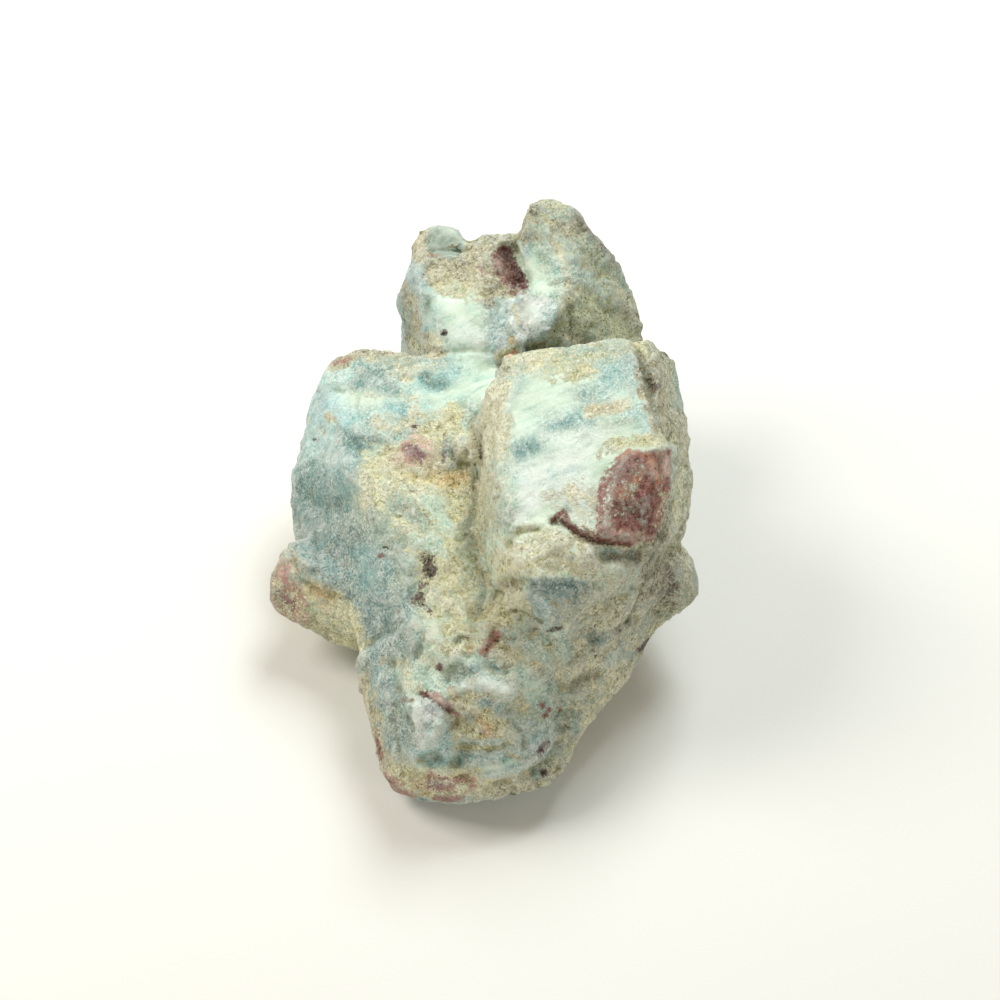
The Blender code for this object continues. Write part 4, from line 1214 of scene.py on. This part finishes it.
def mixed(tree, share, first, second, blend="MIX"):
    """Two colours mixed by a share."""
    made = put(tree, "ShaderNodeMix", {0: share, 6: first, 7: second}, data_type="RGBA", blend_type=blend)
    return made.outputs[2]


def shaded(tree, share, tint, factor):
    """A tint taken by a share towards itself times another colour."""
    return mixed(tree, share, tint, mixed(tree, 1.0, tint, factor, "MULTIPLY"))


def noise(tree, place, scale, detail=2.0, roughness=0.5, distortion=0.0):
    """A Noise Texture's value."""
    made = put(tree, "ShaderNodeTexNoise", {"Vector": place, "Scale": scale, "Detail": detail,
                                            "Roughness": roughness, "Distortion": distortion})
    return made.outputs[0]


def cracks(tree, place, scale, width):
    """A net of winding lines: where a noise lies within this width of its middle."""
    off = calc(tree, "ABSOLUTE", calc(tree, "SUBTRACT", noise(tree, place, scale, 4.0, 0.6), 0.5))
    return span(tree, off, 0.0, width, 1.0, 0.0)


def attribute(tree, name, output="Fac"):
    """What the skin holds under this name."""
    return put(tree, "ShaderNodeAttribute", attribute_name=name).outputs[output]


def new_group(name, inputs, outputs):
    """An empty node group with named number, vector and colour sockets, and its two ends."""
    group = bpy.data.node_groups.new(name, "ShaderNodeTree")
    for label, kind in inputs:
        group.interface.new_socket(label, in_out="INPUT", socket_type=kind)
    for label, kind in outputs:
        group.interface.new_socket(label, in_out="OUTPUT", socket_type=kind)
    return group, group.nodes.new("NodeGroupInput"), group.nodes.new("NodeGroupOutput")


def broken_edge_group():
    """A soft cover turned into ragged patches that end in single grains: the cover plus a noise plus the
    grain's own number, cut near one half."""
    group, start, end = new_group(
        "Broken edge",
        (("Place", "NodeSocketVector"), ("Cover", "NodeSocketFloat"), ("Scale", "NodeSocketFloat"),
         ("Ragged", "NodeSocketFloat"), ("Number", "NodeSocketFloat"), ("Granular", "NodeSocketFloat")),
        (("Mask", "NodeSocketFloat"),))
    rough = noise(group, start.outputs["Place"], start.outputs["Scale"], 5.0, 0.75)
    sway = times(group, plus(group, rough, -0.5), start.outputs["Ragged"])
    own = times(group, plus(group, start.outputs["Number"], -0.5), start.outputs["Granular"])
    sway = times(group, plus(group, sway, own), span(group, start.outputs["Cover"], 0.0, 0.4))
    level = plus(group, start.outputs["Cover"], sway)
    group.links.new(span(group, level, 0.26, 0.74, smooth=True), end.inputs["Mask"])
    return group


def bent_place(tree, place, scale, reach):
    """A place moved by a slow noise, so that what is drawn there bends."""
    slow = put(tree, "ShaderNodeTexNoise", {"Vector": place, "Scale": scale, "Detail": 3.0}).outputs["Color"]
    way = vector(tree, "SUBTRACT", slow, (0.5, 0.5, 0.5))
    return vector(tree, "MULTIPLY_ADD", way, (reach,) * 3, place)


def grain_group():
    """Packed mineral grains: a number of its own for each, its dome, and the gap around it."""
    group, start, end = new_group(
        "Mineral grain",
        (("Place", "NodeSocketVector"), ("Scale", "NodeSocketFloat")),
        (("Number", "NodeSocketFloat"), ("Dome", "NodeSocketFloat"), ("Gap", "NodeSocketFloat")))
    place = bent_place(group, start.outputs["Place"], start.outputs["Scale"], 0.7)
    cells = put(group, "ShaderNodeTexVoronoi", {"Vector": place, "Scale": start.outputs["Scale"]},
                feature="F1")
    number = put(group, "ShaderNodeSeparateColor", {0: cells.outputs["Color"]})
    group.links.new(number.outputs[0], end.inputs["Number"])
    group.links.new(span(group, cells.outputs["Distance"], 0.8, 0.05), end.inputs["Dome"])
    group.links.new(span(group, cells.outputs["Distance"], 0.45, 0.85), end.inputs["Gap"])
    return group


def sway_group():
    """A tint swayed both ways by a number from -1 to 1: down to the tint times its dark, up to its
    light."""
    group, start, end = new_group(
        "Swayed tint",
        (("Tint", "NodeSocketColor"), ("Sway", "NodeSocketFloat"), ("Dark", "NodeSocketColor"),
         ("Light", "NodeSocketColor")),
        (("Color", "NodeSocketColor"),))
    deep = mixed(group, 1.0, start.outputs["Tint"], start.outputs["Dark"], "MULTIPLY")
    down = span(group, start.outputs["Sway"], 0.0, -1.0)
    up = span(group, start.outputs["Sway"], 0.0, 1.0)
    tint = mixed(group, down, start.outputs["Tint"], deep)
    group.links.new(mixed(group, up, tint, start.outputs["Light"]), end.inputs["Color"])
    return group


def use(tree, group, **inputs):
    """A node group placed in the material with its own values."""
    return put(tree, "ShaderNodeGroup", inputs, node_tree=group)


def satin_wisps(tree, coordinates):
    """Satin larimar's sway: long pale wisps that run up to the right, a noise drawn out six times."""
    along = put(tree, "ShaderNodeMapping", {"Vector": coordinates, "Rotation": (0.0, 0.0, -0.45),
                                            "Scale": (1.0 / MM,) * 3}).outputs[0]
    along = put(tree, "ShaderNodeMapping", {"Vector": along, "Scale": (0.16, 1.0, 1.0)}).outputs[0]
    return span(tree, noise(tree, along, 0.8, 4.0, 0.55, 0.8), 0.3, 0.7, -0.55, 0.75)


def rough_frost(tree, place, frost, fine):
    """Rough larimar's sway: clouds, plus frost and grit that come in flurries."""
    flurry = span(tree, noise(tree, place, 0.3, 4.0, 0.6), 0.38, 0.62, 0.3, 1.6)
    return plus(tree, times(tree, span(tree, frost, 0.32, 0.68, -1.0, 1.0), flurry),
                span(tree, noise(tree, place, 0.5, 3.0, 0.6), 0.3, 0.7, -0.6, 0.6),
                times(tree, span(tree, fine, 0.3, 0.7, -0.8, 0.8), flurry))


def fibres(tree, place):
    """The bundles of fibres that larimar grows in: streaks that run out from scattered seeds, a noise of
    the direction from the nearest one."""
    bent = bent_place(tree, bent_place(tree, place, 0.5, 1.6), 1.6, 0.5)
    seed = put(tree, "ShaderNodeTexVoronoi", {"Vector": bent, "Scale": 0.27}).outputs["Position"]
    way = vector(tree, "ADD", vector(tree, "NORMALIZE", vector(tree, "SUBTRACT", bent, seed)), seed)
    return span(tree, noise(tree, way, 6.0, 3.0, 0.65), 0.32, 0.68, -0.6, 0.6)


def drifted(tree, place, body, plain):
    """Larimar with drifts of blue-green, of cream and of violet white, and with white flecks, partly its own
    white crystals and partly painted glints.
    """
    hue = span(tree, noise(tree, place, 0.45, 5.0, 0.7), 0.33, 0.67, -1.0, 1.0)
    body = shaded(tree, times(tree, span(tree, hue, -0.1, -1.0), plain), body, (0.66, 0.90, 0.94, 1.0))
    creamy = span(tree, hue, 0.1, 1.0, 0.0, 0.22)
    body = mixed(tree, times(tree, creamy, plain), body, (0.74, 0.74, 0.56, 1.0))
    veil = noise(tree, bent_place(tree, place, 0.4, 2.0), 0.9, 4.0, 0.7)
    violet = span(tree, veil, 0.54, 0.68, 0.0, 0.4)
    body = mixed(tree, times(tree, violet, plain), body, (0.66, 0.69, 0.70, 1.0))
    # white flecks: in part the stone's white crystals, in part painted glints
    fleck_and_glint = span(tree, noise(tree, place, 3.1, 3.0, 0.6), 0.60, 0.68, 0.0, 0.8, smooth=True)
    return mixed(tree, times(tree, fleck_and_glint, plain), body, (0.86, 0.90, 0.84, 1.0))


def crust_grains(tree, swayed, place, tint, number, crumbs, fine):
    """The crust's grains, from cream to brown, swayed by their own numbers, by crumbs, by slow drifts and
    by a fine noise, with yellow among them."""
    drift = noise(tree, place, 0.38, 3.0, 0.6)
    sway = plus(tree, span(tree, number, 0.0, 1.0, -0.4, 0.4), span(tree, crumbs, 0.34, 0.66, -1.0, 1.4),
                span(tree, drift, 0.3, 0.7, -0.4, 0.5), span(tree, fine, 0.3, 0.7, -0.9, 1.1))
    light = mixed(tree, 0.6, tint, (0.97, 0.96, 0.80, 1.0))
    grains_tint = use(tree, swayed, Tint=tint, Sway=sway, Dark=(0.44, 0.44, 0.34, 1.0), Light=light)
    yellow = span(tree, noise(tree, place, 0.75, 4.0, 0.65), 0.5, 0.66, 0.0, 0.405)
    return mixed(tree, yellow, grains_tint.outputs["Color"],
                 mixed(tree, 1.0, light, (0.97, 0.90, 0.58, 1.0), "MULTIPLY"))


def crust_pores(tree, place):
    """Black pores: the peaks of a noise, and smaller ones where the crust is peppered."""
    wide = span(tree, noise(tree, place, 1.6, 2.0, 0.5), 0.67, 0.71, smooth=True)
    peppered = span(tree, noise(tree, place, 0.6, 2.0, 0.5), 0.45, 0.65)
    small = span(tree, noise(tree, place, 3.6, 1.0, 0.5), 0.62, 0.68, smooth=True)
    return calc(tree, "MAXIMUM", wide, times(tree, small, peppered))


def stone_material():
    """Waxy larimar under granular crust and rusty stain."""
    material = bpy.data.materials.new("Larimar with crust and rust")
    material.use_nodes = True
    tree = material.node_tree
    shader = tree.nodes["Principled BSDF"]
    coordinates = tree.nodes.new("ShaderNodeTexCoord").outputs["Object"]
    # in millimetres, turned off the axes so that no flat face lies along a pattern's own grid
    place = put(tree, "ShaderNodeMapping",
                {"Vector": coordinates, "Location": (3.7, 5.3, 2.9), "Rotation": (0.62, 0.41, 1.13),
                 "Scale": (1.0 / MM,) * 3}).outputs[0]
    broken = broken_edge_group()
    grain = grain_group()
    swayed = sway_group()
    body = attribute(tree, "larimar_tint", "Color")
    crust_tint = attribute(tree, "crust_tint", "Color")
    stain_tint = attribute(tree, "stain_tint", "Color")
    crust = attribute(tree, "crust")
    stain = attribute(tree, "stain")
    satin = attribute(tree, "satin")
    hollow = attribute(tree, "hollow")
    # how far the larimar's pattern shows, and how far the crust's dark parts do: less where it is satin
    plain = span(tree, satin, 0.0, 1.0, 1.0, 0.2)
    calm = span(tree, satin, 0.0, 0.5, 1.0, 0.3)
    frost = noise(tree, place, 1.7, 6.0, 0.8)
    fine = noise(tree, place, 3.4, 3.0, 0.7)

    # the larimar, with fine dark cracks, and beside the crust a breath of the crust's own tint
    sway = put(tree, "ShaderNodeMix", {0: satin, 2: rough_frost(tree, place, frost, fine),
                                       3: satin_wisps(tree, coordinates)}).outputs[0]
    sway = plus(tree, sway, times(tree, fibres(tree, place), plain))
    pale = mixed(tree, 0.6, body, (0.88, 0.93, 0.88, 1.0))
    body = use(tree, swayed, Tint=body, Sway=sway, Dark=(0.46, 0.60, 0.62, 1.0), Light=pale).outputs["Color"]
    body = drifted(tree, place, body, plain)
    chink = times(tree, cracks(tree, place, 2.1, 0.014), plain)
    body = shaded(tree, times(tree, chink, 0.4), body, (0.36, 0.42, 0.40, 1.0))
    body = mixed(tree, span(tree, crust, 0.2, 0.9, 0.0, 0.5), body, crust_tint)

    # the crust: grains parted by gaps darkened as painted shade, and by dark cracks
    packed = use(tree, grain, Place=place, Scale=2.3)
    crumbs = noise(tree, place, 1.1, 6.0, 0.8)
    crust_colour = crust_grains(tree, swayed, place, crust_tint, packed.outputs["Number"], crumbs, fine)
    # painted shade: the gaps between the grains are darkened
    gap = times(tree, packed.outputs["Gap"], span(tree, crumbs, 0.56, 0.42), 0.45)
    split = calc(tree, "MAXIMUM", cracks(tree, bent_place(tree, place, 1.2, 0.4), 1.3, 0.013),
                 cracks(tree, place, 2.7, 0.012))
    dark = times(tree, calc(tree, "MAXIMUM", gap, times(tree, split, 0.8)), calm)
    crust_colour = mixed(tree, dark, crust_colour, (0.17, 0.155, 0.085, 1.0))
    crust_cover = plus(tree, crust, span(tree, hollow, -1.0, 1.0, -0.1, 0.1))
    crust_mask = use(tree, broken, Place=place, Cover=crust_cover, Scale=0.5, Ragged=2.6,
                     Number=packed.outputs["Number"], Granular=0.3).outputs["Mask"]

    # the stain: dark red and pinkish grey specks
    speck = use(tree, grain, Place=place, Scale=3.3).outputs["Number"]
    stain_sway = plus(tree, span(tree, speck, 0.0, 1.0, -0.9, 1.0),
                      span(tree, noise(tree, place, 1.3, 5.0, 0.75), 0.35, 0.65, -0.9, 0.7))
    stain_light = mixed(tree, 0.4, stain_tint, (0.66, 0.48, 0.44, 1.0))
    stain_colour = use(tree, swayed, Tint=stain_tint, Sway=stain_sway, Dark=(0.32, 0.22, 0.22, 1.0),
                       Light=stain_light).outputs["Color"]
    stain_mask = use(tree, broken, Place=place, Cover=stain, Scale=0.9, Ragged=1.4, Number=speck,
                     Granular=0.6).outputs["Mask"]

    # one over another, with painted shade darkening the hollows towards brown, paler edges, and black pores
    # in the crust
    whole = mixed(tree, crust_mask, body, crust_colour)
    whole = mixed(tree, stain_mask, whole, stain_colour)
    # painted shade: the deeper the hollow lies, the darker and browner the colour
    whole = shaded(tree, span(tree, hollow, 0.15, 1.0, 0.0, 0.6), whole, (0.55, 0.53, 0.40, 1.0))
    whole = mixed(tree, span(tree, hollow, -0.2, -1.0, 0.0, 0.3), whole, (0.80, 0.82, 0.74, 1.0))
    pores = times(tree, crust_pores(tree, place), crust_mask, calm, 0.85)
    whole = mixed(tree, pores, whole, (0.05, 0.042, 0.03, 1.0))
    tree.links.new(whole, shader.inputs["Base Color"])

    # waxy larimar, dull crust
    dull = calc(tree, "MAXIMUM", crust_mask, times(tree, stain_mask, 0.7))
    rough = plus(tree, span(tree, dull, 0.0, 1.0, 0.45, 0.88), times(tree, plus(tree, frost, -0.5), 0.3))
    tree.links.new(rough, shader.inputs["Roughness"])
    shader.inputs["Specular IOR Level"].default_value = 0.45

    # relief finer than the skin, in millimetres
    crumple = weighed(tree, (noise(tree, place, 0.7, 6.0, 0.62), 0.7), (frost, 0.16), (fine, 0.12))
    larimar_relief = plus(tree, times(tree, crumple, plain), times(tree, chink, -0.06))
    crust_relief = weighed(tree, (packed.outputs["Dome"], 0.13), (crumbs, 0.3), (fine, 0.14), (split, -0.08))
    relief = put(tree, "ShaderNodeMix", {0: dull, 2: larimar_relief, 3: crust_relief}).outputs[0]
    relief = plus(tree, relief, times(tree, crust_mask, 0.06))
    bump = put(tree, "ShaderNodeBump", {"Height": relief, "Strength": 1.0, "Distance": MM})
    tree.links.new(bump.outputs[0], shader.inputs["Normal"])
    return material


# The stone, step by step

def shape_skin(skin, step):
    """Evens out the solid's facets, breaks the skin into flat faces, and fills, flattens and cuts it. Gives
    back how flat each point is meant to be, from 0 to 1."""
    skin.points = skin.averaged(skin.points, EVEN_ROUNDS)
    skin.settle()
    for size, strength, turn, seed in BREAKS:
        break_flat(skin, size, strength, turn, seed)
    fill_gaps(skin, skin.tree())
    tree = skin.tree()
    flat = flatten(skin, tree)
    skin.points = skin.points + skin.normals * cut_skin(skin, tree)[:, None]
    skin.relax(step, RELAX_ROUNDS)
    return flat


def paint_skin(skin, settings):
    """The skin's paint: its base coat, and every stroke over it."""
    tree = skin.tree()
    paint = Paint(skin, settings)
    worn = clouds(skin.points, 3.6, 31, 4)
    base_coat(paint, skin.points, skin.normals)
    for row in STROKES:
        paint.stroke(tree, worn, row)
    return paint


def grain_height(skin, paint, flat, settings):
    """How far the grain stands out at each point, in millimetres: tilted facets and folds, which are swells
    without their sign, where the stone is rough and not flat, and lumps where there is crust."""
    places = skin.points + 0.5 * np.stack([swell(skin.points, 1.7, 61 + axis) for axis in range(3)], axis=1)
    crust = np.clip(paint.crust * 1.2, 0.0, 1.0) * eased((clouds(skin.points, 2.0, 71) + 1.0) / 0.9)
    rough = (1.0 - 0.8 * paint.satin * (1.0 - paint.crust)) * (1.0 - 0.7 * flat)
    breaks = np.full(skin.count, -SUNK)
    for strength, size, seed in FACETS:
        breaks += strength * grains(places, size, seed)[2]
    for strength, size, seed in FOLDS:
        breaks += strength * np.abs(swell(places, size, seed))
    near, number, _ = grains(places, 1.5, 51)
    lumps = 0.5 * (0.6 - near + 0.4 * number) + 0.6 * swell(places, 1.0, 53) + 0.5 * swell(places, 0.65, 55)
    return (rough * breaks * settings.break_height + crust * lumps * settings.crust_height) / MM


def hollowness(skin):
    """From -1 on edges to 1 in hollows: how far the skin lies under its own average of a few rounds, and
    of many, each over the depth of a full hollow."""
    hollow = np.zeros(skin.count)
    for rounds, depth in HOLLOWS:
        hollow += np.sum((skin.averaged(skin.points, rounds) - skin.points) * skin.normals, axis=1) / depth
    return np.clip(hollow, -1.0, 1.0)


class LARIMAR_OT_stone(bpy.types.Operator):
    """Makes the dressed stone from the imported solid: its fine skin, its colours and its material"""

    bl_idname = "larimar.stone"
    bl_label = "Larimar Stone"

    def execute(self, context):
        settings = context.scene.larimar_stone
        mesh = fine_mesh(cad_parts[STONE], settings.skin_step)
        mesh.name = "stone"
        skin = Skin(mesh)
        resting = (skin.points[:, 2] < RESTING_HEIGHT) & (skin.normals[:, 2] < RESTING_TURN)
        flat = shape_skin(skin, settings.skin_step / MM)
        paint = paint_skin(skin, settings)

        # the grain, inside the solid's box, with the face that the stone rests on kept flat
        low, high = (np.array(corner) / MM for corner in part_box(STONE))
        height = np.where(resting, 0.0, grain_height(skin, paint, flat, settings))
        skin.points = np.clip(skin.points + skin.normals * height[:, None], low, high)
        skin.points[resting, 2] = low[2]
        skin.settle()

        float_attribute(mesh, "hollow", hollowness(skin))
        for name in ("crust", "stain", "satin"):
            float_attribute(mesh, name, getattr(paint, name))
        colour_attribute(mesh, "larimar_tint", np.minimum(paint.body, PALEST))
        colour_attribute(mesh, "crust_tint", np.minimum(paint.crust_tint, PALEST))
        colour_attribute(mesh, "stain_tint", paint.stain_tint)
        mesh.shade_smooth()
        mesh.materials.clear()
        mesh.materials.append(stone_material())

        stone = bpy.data.objects.new("stone", mesh)
        context.scene.collection.objects.link(stone)
        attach(stone, "root")
        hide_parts(STONE)
        return {"FINISHED"}


# Half the floor's width, in metres
FLOOR_REACH = 3.0
# The lights: each one's name, its tint's, and where it stands, in metres. They all face the origin
LIGHTS = (
    ("back", "back", (0.103, 0.244, 0.364)),
    ("left", "left", (-0.300, 0.086, 0.324)),
    ("front_left", "front", (-0.240, -0.370, 0.130)),
    ("front_right", "front", (0.300, -0.320, 0.130)),
)


class LARIMAR_OT_stage(bpy.types.Operator):
    """Makes the floor, the light and the camera"""

    bl_idname = "larimar.stage"
    bl_label = "Stage"

    def execute(self, context):
        scene = context.scene
        settings = scene.larimar_stage
        mesh = bpy.data.meshes.new("floor")
        mesh.from_pydata([(across * FLOOR_REACH, along * FLOOR_REACH, 0.0)
                          for across, along in ((-1, -1), (1, -1), (1, 1), (-1, 1))], [], [(0, 1, 2, 3)])
        material = bpy.data.materials.new("Pale floor")
        material.use_nodes = True
        shader = material.node_tree.nodes["Principled BSDF"]
        shader.inputs["Base Color"].default_value = (*settings.floor, 1.0)
        shader.inputs["Roughness"].default_value = 0.9
        shader.inputs["Specular IOR Level"].default_value = 0.1
        mesh.materials.append(material)
        floor = bpy.data.objects.new("floor", mesh)
        scene.collection.objects.link(floor)

        for name, tint, place in LIGHTS:
            lamp = bpy.data.lights.new(f"{name}_light", "AREA")
            lamp.energy = getattr(settings, f"{name}_power")
            lamp.color = getattr(settings, f"{tint}_tint")
            lamp.size = settings.light_size
            light = bpy.data.objects.new(f"{name}_light", lamp)
            light.location = place
            light.rotation_mode = "QUATERNION"
            light.rotation_quaternion = (-light.location).to_track_quat("-Z", "Y")
            scene.collection.objects.link(light)

        world = bpy.data.worlds.new("Studio")
        world.use_nodes = True
        world.node_tree.nodes["Background"].inputs["Color"].default_value = (*settings.fill_tint, 1.0)
        world.node_tree.nodes["Background"].inputs["Strength"].default_value = settings.fill
        scene.world = world
        scene.view_settings.view_transform = "Standard"

        camera = bpy.data.objects.new("camera", bpy.data.cameras.new("camera"))
        camera.data.lens = LENS
        camera.data.sensor_width = SENSOR
        camera.data.clip_start = 0.01
        camera.location = EYE * MM
        camera.rotation_mode = "QUATERNION"
        camera.rotation_quaternion = Vector(-BACK).to_track_quat("-Z", "Y")
        scene.collection.objects.link(camera)
        scene.camera = camera
        return {"FINISHED"}


class LARIMAR_PT_panel(bpy.types.Panel):
    """The larimar stone's settings and its operators"""

    bl_idname = "LARIMAR_PT_panel"
    bl_label = "Rough larimar"
    bl_space_type = "VIEW_3D"
    bl_region_type = "UI"
    bl_category = "Larimar"

    def draw(self, context):
        for settings, operator in ((context.scene.larimar_stone, LARIMAR_OT_stone),
                                   (context.scene.larimar_stage, LARIMAR_OT_stage)):
            column = self.layout.column()
            for name in settings.__annotations__:
                column.prop(settings, name)
            column.operator(operator.bl_idname)


CLASSES = (LarimarStoneSettings, LarimarStageSettings, LARIMAR_OT_stone, LARIMAR_OT_stage, LARIMAR_PT_panel)


def register():
    """Makes the classes and their settings known to Blender."""
    for made in CLASSES:
        bpy.utils.register_class(made)
    bpy.types.Scene.larimar_stone = PointerProperty(type=LarimarStoneSettings)
    bpy.types.Scene.larimar_stage = PointerProperty(type=LarimarStageSettings)


def unregister():
    """Takes the settings and the classes away again."""
    del bpy.types.Scene.larimar_stage
    del bpy.types.Scene.larimar_stone
    for made in reversed(CLASSES):
        bpy.utils.unregister_class(made)


def main():
    """Makes the stage and the stone."""
    register()
    bpy.ops.larimar.stage()
    bpy.ops.larimar.stone()


if __name__ == "__main__":
    main()
